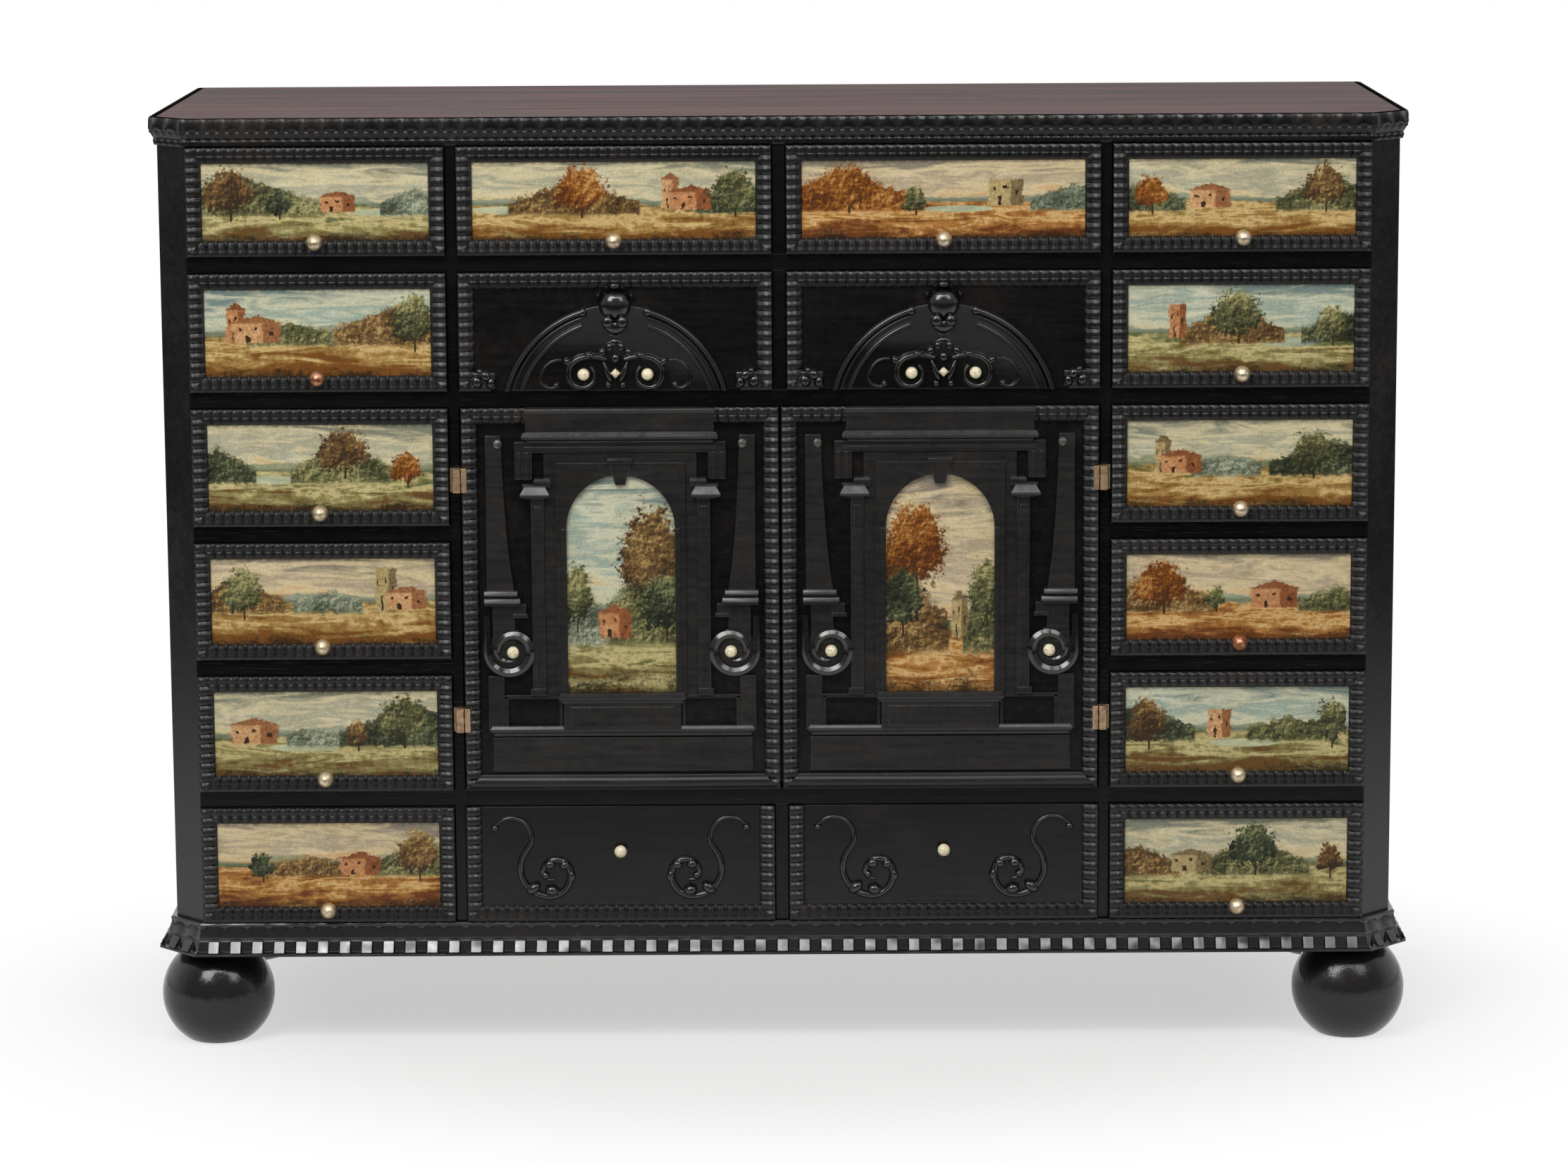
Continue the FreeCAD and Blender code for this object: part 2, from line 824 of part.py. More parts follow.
def volute():
    # A disc that carries a raised band, which winds inwards towards the bead.
    x = door_centre_x + volute_offset
    z = door_low_z + volute_rise
    disc_radius = volute_radius + volute_band_width / 2
    disc = turned_on_front([(disc_radius, 0), (disc_radius, volute_disc_proud)], x, z, 0, band_sides)
    arcs = follow_bends((volute_radius, 0), -90, [(volute_radius, -180), (volute_inner_radius, -180)])
    band = ribbon(arcs, volute_band_width, on_front(x, z, volute_disc_proud),
                  OUT * (volute_band_proud - volute_disc_proud))
    return disc, band


def consoles():
    block_half = console_block_width / 2
    neck_half = console_neck_width / 2
    disc, band = volute()
    neck = door_block(volute_offset - neck_half, volute_offset + neck_half,
                      volute_rise, console_block_rise, volute_disc_proud)
    pieces = [
        console_taper(),
        door_block(console_offset - block_half, console_offset + block_half, console_block_rise,
                   console_block_rise + console_block_height, console_block_proud),
        neck.cut(disc).Solids[0],
        disc,
        band,
        door_block(frame_inner - volute_foot_width, frame_inner,
                   ledge_rise, ledge_rise + volute_foot_height, volute_foot_proud),
    ]
    return [solid for piece in pieces for solid in with_mirror_image(piece, door_centre_x)]


def portico():
    sill_half = pedestal_half_width + sill_overhang
    stile_inner = stile_outer - stile_width
    pieces = [
        door_block(-pedestal_half_width, pedestal_half_width, ledge_rise, sill_rise, pedestal_proud),
        door_block(-sill_half, sill_half, sill_rise, picture_rise, sill_proud),
    ]
    pieces += portico_middle()
    pieces += door_pair(pedestal_half_width, ledge_half_width,
                        ledge_rise, ledge_rise + ledge_height, ledge_proud)
    pieces += door_pair(surround_half, pilaster_outer, picture_rise, impost_low, pilaster_proud)
    pieces += door_pair(surround_half, pilaster_outer + impost_overhang,
                        impost_low, impost_high, impost_proud)
    pieces += door_pair(surround_half, pilaster_outer + impost_step_overhang,
                        impost_high, impost_high + impost_step_height, impost_step_proud)
    pieces += door_pair(stile_inner, stile_outer, impost_high + impost_step_height,
                        architrave_low, architrave_proud)
    return pieces + consoles()


# Hinges on the outer edges of the doors
hinge_x = door_high_x + hinge_leaf_thickness + hinge_barrel_radius - hinge_bite
hinge_y = front_y - hinge_axis_proud
knuckle_height = (hinge_height - 2 * hinge_knuckle_gap) / 3


def hinge_turning(radius, z_low, z_high):
    def place(across, along, height):
        return Vector(hinge_x + across, hinge_y + along, height)
    return turned([(radius, z_low), (radius, z_high)], turning_sides, place)


def knuckle(z):
    return hinge_turning(hinge_barrel_radius, z, z + knuckle_height)


def hinge_heights():
    # The lower edges of the two hinges on a door.
    return (door_low_z + hinge_inset - hinge_height / 2,
            door_high_z - hinge_inset - hinge_height / 2)


def fixed_hinge(z):
    # A leaf on the partition's front edge, with the outer knuckles and the pin between them.
    leaf = front_block(bay_outer_x + hinge_plate_margin, side_inner_x - hinge_plate_margin,
                       z, z + hinge_height, hinge_plate_thickness)
    top_z = z + hinge_height - knuckle_height
    for knuckle_z in (z, top_z):
        web = front_block(hinge_x - hinge_web_width / 2, hinge_x + hinge_web_width / 2,
                          knuckle_z, knuckle_z + knuckle_height, hinge_axis_proud)
        leaf = leaf.fuse(web.fuse(knuckle(knuckle_z)))
    return leaf.Solids + [hinge_turning(hinge_pin_radius, z + knuckle_height, top_z)]


def moving_hinge(z):
    # A leaf on the door's edge, with the middle knuckle bored for the pin.
    middle_z = z + knuckle_height + hinge_knuckle_gap
    leaf = board(door_high_x, door_high_x + hinge_leaf_thickness, front_y - hinge_leaf_proud,
                 front_y + hinge_leaf_depth, z, z + hinge_height)
    tongue = board(door_high_x, door_high_x + hinge_leaf_thickness, hinge_y,
                   front_y - hinge_leaf_proud, middle_z, middle_z + knuckle_height)
    bore_radius = (hinge_pin_radius + hinge_pin_clearance) / math.cos(math.pi / turning_sides)
    bore = hinge_turning(bore_radius, middle_z, middle_z + knuckle_height)
    return leaf.fuse(tongue).fuse(knuckle(middle_z)).cut(bore).Solids


# Nodes
os.makedirs("parts", exist_ok=True)

save("top_board", [prism(canted_plan(), ceiling_z, ceiling_z + top_board_thickness)])
save("bottom_board", [prism(canted_plan(), foot_height, floor_z)])
save("right_side_board", [side_board()])
save("left_side_board", [side_board().mirror(CENTRE, RIGHT)])
save("corner_posts", corner_posts())
save("back_panel", [board(-side_outer_x, side_outer_x, inner_back_y, back_y, floor_z, ceiling_z)])
save("partitions", partitions())
save("right_dust_boards", dust_boards(side_inner_x, side_outer_x, range(2, row_count + 1)))
save("left_dust_boards", dust_boards(-side_outer_x, -side_inner_x, range(2, row_count + 1)))
save("centre_dust_boards", dust_boards(-bay_outer_x, bay_outer_x,
                                       (pediment_row, first_door_row, row_count)))
save("cornice_moulding", moulding_round_carcass(cornice_outline, ceiling_z))
save("base_moulding", moulding_round_carcass(base_outline, foot_height))
save("bun_feet", bun_feet())
fixed_hinges = [solid for z in hinge_heights() for solid in fixed_hinge(z)]
save("fixed_hinge_leaves", fixed_hinges + [solid.mirror(CENTRE, RIGHT) for solid in fixed_hinges])


def save_pair(right_node, left_node, solids):
    save(right_node, solids)
    save(left_node, [solid.mirror(CENTRE, RIGHT) for solid in solids])


def save_drawers(name, x_low, x_high, row, make_front):
    for part, solids in (("box", drawer_box(x_low, x_high, row)),
                         ("front", make_front(x_low, x_high, row))):
        save_pair("drawer_right_" + name + "_" + part, "drawer_left_" + name + "_" + part, solids)


for side_row in range(1, row_count + 1):
    save_drawers("side_" + str(side_row), side_inner_x, side_outer_x, side_row, painted_front)
save_drawers("top", bay_inner_x, bay_outer_x, 1, painted_front)
save_drawers("pediment", bay_inner_x, bay_outer_x, pediment_row, pediment_front)
save_drawers("low", bay_inner_x, bay_outer_x, row_count, low_front)

save_pair("door_right_leaf", "door_left_leaf", door_leaf())
save_pair("door_right_frame", "door_left_frame", door_frame())
save_pair("door_right_portico", "door_left_portico", portico())
save_pair("door_right_picture", "door_left_picture", door_picture())
moving_hinges = [solid for z in hinge_heights() for solid in moving_hinge(z)]
save_pair("door_right_hinge_leaves", "door_left_hinge_leaves", moving_hinges)
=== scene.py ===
# %% [markdown]
# A table cabinet of ebonised wood, with painted drawers round two portico doors.
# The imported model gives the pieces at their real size. This script dresses them: it keeps the
# plain boards, and models afresh what a carver, a turner and a painter would have worked on.

import bpy
import math
from mathutils import Matrix, Vector
from types import SimpleNamespace


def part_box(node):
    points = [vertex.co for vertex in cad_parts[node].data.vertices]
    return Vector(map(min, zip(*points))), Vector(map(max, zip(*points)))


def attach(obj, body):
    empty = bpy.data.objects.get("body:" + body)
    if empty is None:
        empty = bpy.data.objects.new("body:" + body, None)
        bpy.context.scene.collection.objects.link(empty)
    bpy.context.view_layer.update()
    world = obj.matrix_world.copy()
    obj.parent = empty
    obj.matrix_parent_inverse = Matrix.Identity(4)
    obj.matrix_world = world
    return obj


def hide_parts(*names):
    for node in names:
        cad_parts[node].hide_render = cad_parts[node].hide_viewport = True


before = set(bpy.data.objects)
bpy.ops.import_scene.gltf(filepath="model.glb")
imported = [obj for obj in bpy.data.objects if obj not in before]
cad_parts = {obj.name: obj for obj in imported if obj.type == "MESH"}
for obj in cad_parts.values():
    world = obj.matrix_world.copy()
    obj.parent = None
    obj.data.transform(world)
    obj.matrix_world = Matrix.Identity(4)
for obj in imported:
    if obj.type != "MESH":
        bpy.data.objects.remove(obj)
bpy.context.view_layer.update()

# %% [markdown]
# Pieces are modelled in millimetres, as a joiner would measure them, and are brought to metres
# when they are finished. The frame's boxes are read in millimetres for the same reason.

# %% Small helpers for modelling
MM = 0.001
OUT = Vector((0, -1, 0))
UP = Vector((0, 0, 1))
RIGHT = Vector((1, 0, 0))


def node_box(node):
    low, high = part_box(node)
    return low / MM, high / MM


def deselect():
    bpy.ops.object.select_all(action="DESELECT")


def pick(piece):
    deselect()
    piece.select_set(True)
    bpy.context.view_layer.objects.active = piece


def edit(piece, choose=None):
    # Edit mode with everything selected, or only the vertices that the test chooses.
    pick(piece)
    bpy.ops.object.mode_set(mode="EDIT")
    bpy.ops.mesh.select_all(action="SELECT")
    if choose is not None:
        bpy.ops.mesh.select_all(action="DESELECT")
        bpy.ops.object.mode_set(mode="OBJECT")
        for vertex in piece.data.vertices:
            vertex.select = choose(vertex.co)
        bpy.ops.object.mode_set(mode="EDIT")


def leave_edit():
    bpy.ops.object.mode_set(mode="OBJECT")


def modify(piece, kind, **settings):
    pick(piece)
    modifier = piece.modifiers.new(kind.title(), kind)
    for key, value in settings.items():
        setattr(modifier, key, value)
    bpy.ops.object.modifier_apply(modifier=modifier.name)


def tidy(piece):
    # Merge what coincides and turn every face outwards.
    edit(piece)
    bpy.ops.mesh.remove_doubles(threshold=0.01)
    bpy.ops.mesh.normals_make_consistent(inside=False)
    leave_edit()


def bevel(piece, width, segments=2):
    modify(piece, "BEVEL", width=width, segments=segments, limit_method="ANGLE",
           angle_limit=math.radians(40))


def saw(piece, place, outwards):
    # Saws off what lies beyond a plane, on the side that it faces, and closes the cut.
    edit(piece)
    bpy.ops.mesh.bisect(plane_co=place, plane_no=outwards, use_fill=True, clear_outer=True)
    leave_edit()
    return piece


def combine(piece, tool, operation="DIFFERENCE"):
    # Cuts the tool's shape out of the piece, or joins it on, and takes the tool away.
    modify(piece, "BOOLEAN", operation=operation, object=tool, solver="EXACT")
    bpy.data.objects.remove(tool)
    return piece


def join(name, pieces):
    deselect()
    for piece in pieces:
        piece.select_set(True)
    bpy.context.view_layer.objects.active = pieces[0]
    if len(pieces) > 1:
        bpy.ops.object.join()
    pieces[0].name = name
    return pieces[0]


def copy_of(piece, name, move=(0, 0, 0), mirrored=False):
    # A copy with its own mesh, moved, and mirrored across the cabinet's middle first if asked.
    twin = bpy.data.objects.new(name, piece.data.copy())
    bpy.context.scene.collection.objects.link(twin)
    if mirrored:
        twin.data.transform(Matrix.Diagonal((-1, 1, 1, 1)))
        twin.data.flip_normals()
    twin.data.transform(Matrix.Translation(Vector(move)))
    return twin


def discard(*patterns):
    # Takes away the patterns that copies were made from.
    for pattern in patterns:
        bpy.data.objects.remove(pattern)


def settle(piece, name, body, material, stands_for=(), smooth=32):
    # A finished piece: in metres, at the origin, dressed, and riding on its body.
    pick(piece)
    bpy.ops.object.transform_apply(location=True, rotation=True, scale=True)
    piece.data.transform(Matrix.Scale(MM, 4))
    bpy.ops.object.shade_smooth_by_angle(angle=math.radians(smooth))
    piece.name = name
    piece.data.materials.clear()
    piece.data.materials.append(material)
    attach(piece, body)
    if stands_for:
        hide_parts(*stands_for)
    return piece


# %% [markdown]
# Three ways of making cover most of the cabinet. A block is a cube with its edges eased.
# A turned piece starts as a disc that is drawn out and widened ring by ring, as on a lathe.
# A stepped block does the same with a rectangle, which gives a moulding with mitred returns.
# A plain round bar serves to cut round openings or to add round heads.

# %% Blocks, turned pieces and stepped blocks
def block(low, high, ease=0.5):
    low, high = Vector(low), Vector(high)
    bpy.ops.mesh.primitive_cube_add(size=1, location=(low + high) / 2, scale=high - low)
    piece = bpy.context.object
    bpy.ops.object.transform_apply(location=True, rotation=True, scale=True)
    if ease:
        bevel(piece, ease)
    return piece


def turned(rings, sides, place, facing=UP):
    # Rings hold a radius and a height. The first and last rings close the piece.
    radius, height = rings[0]
    bpy.ops.mesh.primitive_circle_add(vertices=sides, radius=radius, fill_type="NGON",
                                      location=(0, 0, height))
    piece = bpy.context.object
    bpy.ops.object.transform_apply(location=True)
    edit(piece)
    for next_radius, next_height in rings[1:]:
        grow = next_radius / radius
        bpy.ops.mesh.extrude_region_move(
            TRANSFORM_OT_translate={"value": (0, 0, next_height - height)})
        bpy.ops.transform.resize(value=(grow, grow, 1), center_override=(0, 0, next_height))
        radius, height = next_radius, next_height
    leave_edit()
    tidy(piece)
    piece.data.transform(facing.to_track_quat("Z", "Y").to_matrix().to_4x4())
    piece.data.transform(Matrix.Translation(Vector(place)))
    return piece


def round_bar(radius, length, place, sides=96):
    # A plain bar that lies along Y.
    bpy.ops.mesh.primitive_cylinder_add(vertices=sides, radius=radius, depth=length,
                                        location=place, rotation=(math.pi / 2, 0, 0))
    bpy.ops.object.transform_apply(location=True, rotation=True, scale=True)
    return bpy.context.object


def drawn_up(across, levels, aside=0.0):
    # A rectangle that is drawn up through levels of height, width and reach. It stays centred on
    # a place across, or lies beside it by a share of its own width.
    height, wide, reach = levels[0]
    bpy.ops.mesh.primitive_plane_add(size=1, location=(across + aside * wide, -reach / 2, height))
    piece = bpy.context.object
    piece.scale = (wide, reach, 1)
    bpy.ops.object.transform_apply(location=True, rotation=True, scale=True)
    edit(piece)
    for next_height, next_wide, next_reach in levels[1:]:
        bpy.ops.mesh.extrude_region_move(
            TRANSFORM_OT_translate={"value": (0, 0, next_height - height)})
        bpy.ops.transform.resize(value=(next_wide / wide, next_reach / reach, 1),
                                 center_override=(across, 0, next_height))
        height, wide, reach = next_height, next_wide, next_reach
    leave_edit()
    tidy(piece)
    return piece


def stepped_block(across, half_width, levels):
    # Levels hold a height and a reach. The reach widens the block at its front and both ends.
    return drawn_up(across, [(height, 2 * (half_width + reach), reach)
                             for height, reach in levels])


# %% [markdown]
# The camera stands in front, a little above the top, and looks slightly down. Its place was
# found by matching corners, hinges and knobs of the cabinet with the photograph.

# %% Camera
SENSOR_WIDTH = 36.0
camera_place = Vector((0.0091, -3.8, 1.0276))
camera_lens = 107.75
camera_shift = -0.05
camera_tilt = 9.202
camera_yaw = 0.097
camera_roll = 0.315

camera_data = bpy.data.cameras.new("camera")
camera = bpy.data.objects.new("camera", camera_data)
bpy.context.scene.collection.objects.link(camera)
camera_data.sensor_width = SENSOR_WIDTH
camera_data.lens = camera_lens
camera_data.shift_y = camera_shift
camera.location = camera_place
turn = (Matrix.Rotation(math.radians(camera_yaw), 4, "Z")
        @ Matrix.Rotation(math.radians(90 - camera_tilt), 4, "X")
        @ Matrix.Rotation(-math.radians(camera_roll), 4, "Z"))
camera.rotation_euler = turn.to_euler()
bpy.context.scene.camera = camera
print("camera at", tuple(camera_place), "lens", camera_lens)

# %% [markdown]
# Every material is a graph of shader nodes. One function adds a node, sets what is plain and
# links what comes from another node. Colours are written as sRGB hex values. A pattern's scale
# counts its waves in a metre, so 260 across the grain gives a line about every 4 mm.

# %% Colour and node helpers
COLOUR_MIX = {"out": 2, "data_type": "RGBA"}


def colour(text):
    values = [int(text[i:i + 2], 16) / 255 for i in (1, 3, 5)]
    return [v / 12.92 if v <= 0.04045 else ((v + 0.055) / 1.055) ** 2.4 for v in values] + [1.0]


def add(tree, kind, inputs=(), out=0, stops=None, **settings):
    # One node with its settings. Inputs are given by name or number, as a socket or a value.
    # It gives back one output, or all of them where out is None.
    item = tree.nodes.new("ShaderNode" + kind)
    for key, value in settings.items():
        setattr(item, key, value)
    if stops:
        ramp = item.color_ramp.elements
        while len(ramp) < len(stops):
            ramp.new(0.5)
        for element, stop in zip(ramp, stops):
            element.position = stop[0]
        # Stops that pass each other change places, so the colours are set when all have moved.
        for element, stop in zip(ramp, stops):
            element.color = colour(stop[1])
    for where, value in dict(inputs).items():
        socket = item.inputs[where]
        if isinstance(value, bpy.types.NodeSocket):
            tree.links.new(value, socket)
        else:
            socket.default_value = colour(value) if isinstance(value, str) else value
    return item.outputs[out] if item.outputs and out is not None else item.outputs


def new_material(name):
    material = bpy.data.materials.new(name)
    material.use_nodes = True
    tree = material.node_tree
    tree.nodes.clear()
    return material, tree


def drawn_grain(tree, place, waves, cut=(0, 0, 0), **looks):
    # Noise that is drawn out along the axis with the fewest waves, counted on all three axes.
    # The node scales first and turns afterwards, so a turn doesn't turn the grain. It is used
    # for the cut: the part of the noise that a piece shows.
    laid = add(tree, "Mapping", {"Vector": place, "Rotation": cut, "Scale": waves})
    return add(tree, "TexNoise", {"Vector": laid, "Scale": 1.0, **looks})


def finish_surface(tree, height, relief, depth, normal=None, **sockets):
    # The surface shader with its output. A height gives it fine relief, down to a depth in metres.
    bump = {"Height": height, "Strength": relief, "Distance": depth}
    if normal is not None:
        bump["Normal"] = normal
    names = {key.replace("_", " "): value for key, value in sockets.items()}
    names["Normal"] = add(tree, "Bump", bump)
    shader = add(tree, "BsdfPrincipled", names)
    add(tree, "OutputMaterial", {"Surface": shader})


# %% [markdown]
# Ebonised pearwood: a fine, hard wood stained black and polished with wax. The eye sees deep
# black with a soft gloss, a trace of brown where the stain has thinned, and hardly any grain.
# The grain's lines lie about 4 mm apart, the worn patches measure some 70 mm, the scuffs 6 mm.

# %% Ebonised wood
STAIN = ("#070707", "#141211")


def ebonised(name, rough_low, rough_high, cut, gloss, worn_share=0.5, relief=0.1,
             dull_above=None, tones=STAIN, uneven=0.0):
    # Above the given height the wood is dusty and has lost its gloss. Uneven wood has hand-cut
    # faces that lean this way and that, by a depth in metres.
    material, tree = new_material(name)
    place = add(tree, "TexCoord", out=3)
    grain = drawn_grain(tree, place, (18, 260, 260), cut, Detail=4, Roughness=0.6)
    patches = add(tree, "TexNoise", {"Vector": place, "Scale": 14, "Detail": 5, "Roughness": 0.62})
    scuffs = add(tree, "TexNoise", {"Vector": place, "Scale": 160, "Detail": 3, "Roughness": 0.7})
    black = add(tree, "ValToRGB", {"Fac": grain}, stops=[(0.3, tones[0]), (0.75, tones[1])])
    thin = add(tree, "MapRange", {"Value": patches, "From Min": 0.54, "From Max": 0.8,
                                  "To Max": worn_share})
    worn_black = add(tree, "Mix", {0: thin, 6: black, 7: "#2b231d"}, **COLOUR_MIX)
    sheen = add(tree, "Math", {0: patches, 1: scuffs}, operation="MULTIPLY")
    rough = add(tree, "MapRange", {"Value": sheen, "From Min": 0.12, "From Max": 0.4,
                                   "To Min": rough_low, "To Max": rough_high})
    if dull_above is not None:
        rise = add(tree, "SeparateXYZ", {0: place}, out=2)
        gloss = add(tree, "MapRange", {"Value": rise, "From Min": dull_above,
                                       "From Max": dull_above + 0.0005, "To Min": gloss,
                                       "To Max": 0.0})
    eased = add(tree, "Bevel", {"Radius": 0.0007}, samples=4)
    if uneven:
        lean = add(tree, "TexNoise", {"Vector": place, "Scale": 55, "Detail": 0})
        eased = add(tree, "Bump", {"Height": lean, "Strength": 1.0, "Distance": uneven,
                                   "Normal": eased})
    finish_surface(tree, sheen, relief, 0.0006, eased, Base_Color=worn_black, Roughness=rough,
                   IOR=1.5, Specular_IOR_Level=gloss)
    return material


# Cuts, so that boards which meet don't share one pattern
LYING_CUT = (0, 0, 0)
DRAWER_CUT = (0, 0, math.radians(90))
UPRIGHT_CUT = (0, math.radians(90), 0)
DUSTY_EDGE = 0.0007
dusty_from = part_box("cornice_moulding")[1].z - DUSTY_EDGE
black_along = ebonised("ebonised pearwood, lying boards", 0.16, 0.32, LYING_CUT, 0.4)
black_upright = ebonised("ebonised pearwood, uprights", 0.16, 0.32, UPRIGHT_CUT, 0.45)
black_carved = ebonised("ebonised carved pearwood", 0.2, 0.4, UPRIGHT_CUT, 0.42,
                        tones=("#171717", "#292725"))
black_ripple = ebonised("ebonised ripple moulding", 0.3, 0.48, LYING_CUT, 0.46, worn_share=0.6)
black_base = ebonised("ebonised base moulding, polished", 0.1, 0.22, LYING_CUT, 0.66,
                      relief=0.05, uneven=0.0009)
black_turned = ebonised("ebonised turned wood", 0.1, 0.22, LYING_CUT, 0.7, relief=0.25)
black_feet = ebonised("ebonised ball feet, rubbed polish", 0.12, 0.26, LYING_CUT, 0.5, relief=0.9)
black_cornice = ebonised("ebonised cornice moulding, dusty above", 0.24, 0.4, LYING_CUT, 0.4,
                         worn_share=0.6, dull_above=dusty_from)
print("ebonised materials made")

# %% [markdown]
# The top is a softer board, stained plum-brown, whose polish has worn dull. Long grain runs
# from end to end in bands of about 20 mm, with lines of 2 mm in them, and the joints between
# its boards show as thin dark lines.

# %% Stained top board
BOARDS_IN_A_METRE = 9.2


def stained_board():
    material, tree = new_material("plum-stained softwood, worn polish")
    place = add(tree, "TexCoord", out=3)
    grain = drawn_grain(tree, place, (1.6, 46, 46), Detail=7, Roughness=0.62, Distortion=0.3)
    fine = drawn_grain(tree, place, (12, 420, 420), Detail=3)
    base = add(tree, "ValToRGB", {"Fac": grain},
               stops=[(0.32, "#1f1616"), (0.45, "#3d2c2d"), (0.56, "#5d4846"), (0.7, "#2a1e1e")])
    dusty = add(tree, "TexNoise", {"Vector": place, "Scale": 5.5, "Detail": 5, "Roughness": 0.65})
    dust = add(tree, "MapRange", {"Value": dusty, "From Min": 0.5, "From Max": 0.72,
                                  "To Max": 0.4})
    greyed = add(tree, "Mix", {0: dust, 6: base, 7: "#4a4541"}, **COLOUR_MIX)
    depth = add(tree, "SeparateXYZ", {0: place}, out=1)
    strip = add(tree, "Math", {0: depth, 1: BOARDS_IN_A_METRE}, operation="MULTIPLY")
    edge = add(tree, "Math", {0: strip, 1: 0.5}, operation="PINGPONG")
    joint = add(tree, "MapRange", {"Value": edge, "From Max": 0.012, "To Min": 0.75,
                                   "To Max": 0.0})
    jointed = add(tree, "Mix", {0: joint, 6: greyed, 7: "#150f0e"}, **COLOUR_MIX)
    rough = add(tree, "MapRange", {"Value": grain, "From Min": 0.3, "From Max": 0.7,
                                   "To Min": 0.55, "To Max": 0.78})
    height = add(tree, "Math", {0: fine, 1: grain}, operation="ADD")
    eased = add(tree, "Bevel", {"Radius": 0.0008}, samples=4)
    finish_surface(tree, height, 0.25, 0.0006, eased, Base_Color=jointed, Roughness=rough,
                   IOR=1.45, Specular_IOR_Level=0.15)
    return material


top_wood = stained_board()
print("top board stained")

# %% [markdown]
# The drawer boxes, the bottom and the back are plain oak, planed and left unpolished, which
# has turned tan with age. Its pores show as dark flecks along the grain, 1 mm wide and about
# 20 mm long. The grain runs along X on every piece. That is right for the back, the bottom and
# the dust boards, but on the drawers' sides and on the partitions, which are thin that way, it
# shows as patches and not as lines. Where a board faces the room it is stained black, and the
# stain ends in a ragged line a little way back.

# %% Oak
FRONT_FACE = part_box("drawer_right_side_1_front")[1].y


def oak(name, cut, black_depth=None):
    # Where a depth is given in metres, the oak is ebonised that far back from the front.
    material, tree = new_material(name)
    place = add(tree, "TexCoord", out=3)
    grain = drawn_grain(tree, place, (2.4, 42, 42), cut, Detail=6, Roughness=0.6,
                        Distortion=0.6)
    pores = drawn_grain(tree, place, (55, 900, 900), cut, Detail=2)
    tone = add(tree, "ValToRGB", {"Fac": grain},
               stops=[(0.28, "#7a5936"), (0.5, "#947043"), (0.62, "#a37e50"), (0.8, "#8a683f")])
    fleck = add(tree, "MapRange", {"Value": pores, "From Min": 0.62, "From Max": 0.74,
                                   "To Max": 0.6})
    tone = add(tree, "Mix", {0: fleck, 6: tone, 7: "#46301b"}, **COLOUR_MIX)
    rough = 0.55
    if black_depth is not None:
        back_of_black = FRONT_FACE + black_depth
        depth = add(tree, "SeparateXYZ", {0: place}, out=1)
        ragged = add(tree, "Math", {0: pores, 1: 0.0016, 2: depth}, operation="MULTIPLY_ADD")
        bare = add(tree, "MapRange", {"Value": ragged, "From Min": back_of_black,
                                      "From Max": back_of_black + 0.0012})
        black = add(tree, "ValToRGB", {"Fac": grain}, stops=[(0.3, STAIN[0]), (0.75, STAIN[1])])
        tone = add(tree, "Mix", {0: bare, 6: black, 7: tone}, **COLOUR_MIX)
        rough = add(tree, "MapRange", {"Value": bare, "To Min": 0.2, "To Max": rough})
    height = add(tree, "Math", {0: grain, 1: fleck}, operation="SUBTRACT")
    eased = add(tree, "Bevel", {"Radius": 0.0008}, samples=4)
    finish_surface(tree, height, 0.25, 0.0005, eased, Base_Color=tone, Roughness=rough, IOR=1.5,
                   Specular_IOR_Level=0.3)
    return material


oak_along = oak("planed oak, back panel", LYING_CUT)
partition_oak = oak("oak partition with ebonised edge", UPRIGHT_CUT, 0.03)
dust_board_oak = oak("oak dust board with ebonised edge", LYING_CUT, 0.009)
drawer_oak = oak("oak drawer with ebonised front", DRAWER_CUT, 0.013)
# The bottom is black for 120 mm back from its front, and bare oak behind.
bottom_oak = oak("oak bottom, black towards the front", LYING_CUT, 0.12)
print("oak made")

# %% [markdown]
# Knobs are cast brass that has dulled with handling: warm yellow on the crowns and brown in
# the hollows. Two knobs are redder. The hinges are duller still, of rolled brass, and the nails
# are iron. Stains on the metal measure about 4 mm. Beads and two knobs are turned bone, cream
# coloured, with darker pores about 2 mm apart.

# %% Brass, bone and iron
def aged_metal(name, bright, dull, rough_low, rough_high):
    material, tree = new_material(name)
    place = add(tree, "TexCoord", out=3)
    stains = add(tree, "TexNoise", {"Vector": place, "Scale": 240, "Detail": 5, "Roughness": 0.65})
    tone = add(tree, "ValToRGB", {"Fac": stains}, stops=[(0.38, dull), (0.6, bright)])
    rough = add(tree, "MapRange", {"Value": stains, "From Min": 0.35, "From Max": 0.65,
                                   "To Min": rough_high, "To Max": rough_low})
    finish_surface(tree, stains, 0.2, 0.0003, Base_Color=tone, Metallic=1.0, Roughness=rough)
    return material


brass = aged_metal("aged cast brass", "#ecdcc0", "#b8a280", 0.34, 0.52)
red_brass = aged_metal("red brass", "#cf9878", "#84503a", 0.34, 0.52)
hinge_brass = aged_metal("dull rolled brass", "#dcbc98", "#a0866a", 0.42, 0.6)
iron = aged_metal("hand-cut iron nail", "#8b8984", "#4a4844", 0.35, 0.55)


def turned_bone():
    material, tree = new_material("turned bone, polished")
    place = add(tree, "TexCoord", out=3)
    pores = add(tree, "TexNoise", {"Vector": place, "Scale": 600, "Detail": 4, "Roughness": 0.6})
    tone = add(tree, "ValToRGB", {"Fac": pores},
               stops=[(0.3, "#a8946c"), (0.48, "#ddd2b2"), (0.7, "#efe8d0")])
    finish_surface(tree, pores, 0.15, 0.0002, Base_Color=tone, Roughness=0.3, IOR=1.54,
                   Subsurface_Weight=0.15, Subsurface_Scale=0.001)
    return material


bone = turned_bone()
print("metal and bone made")

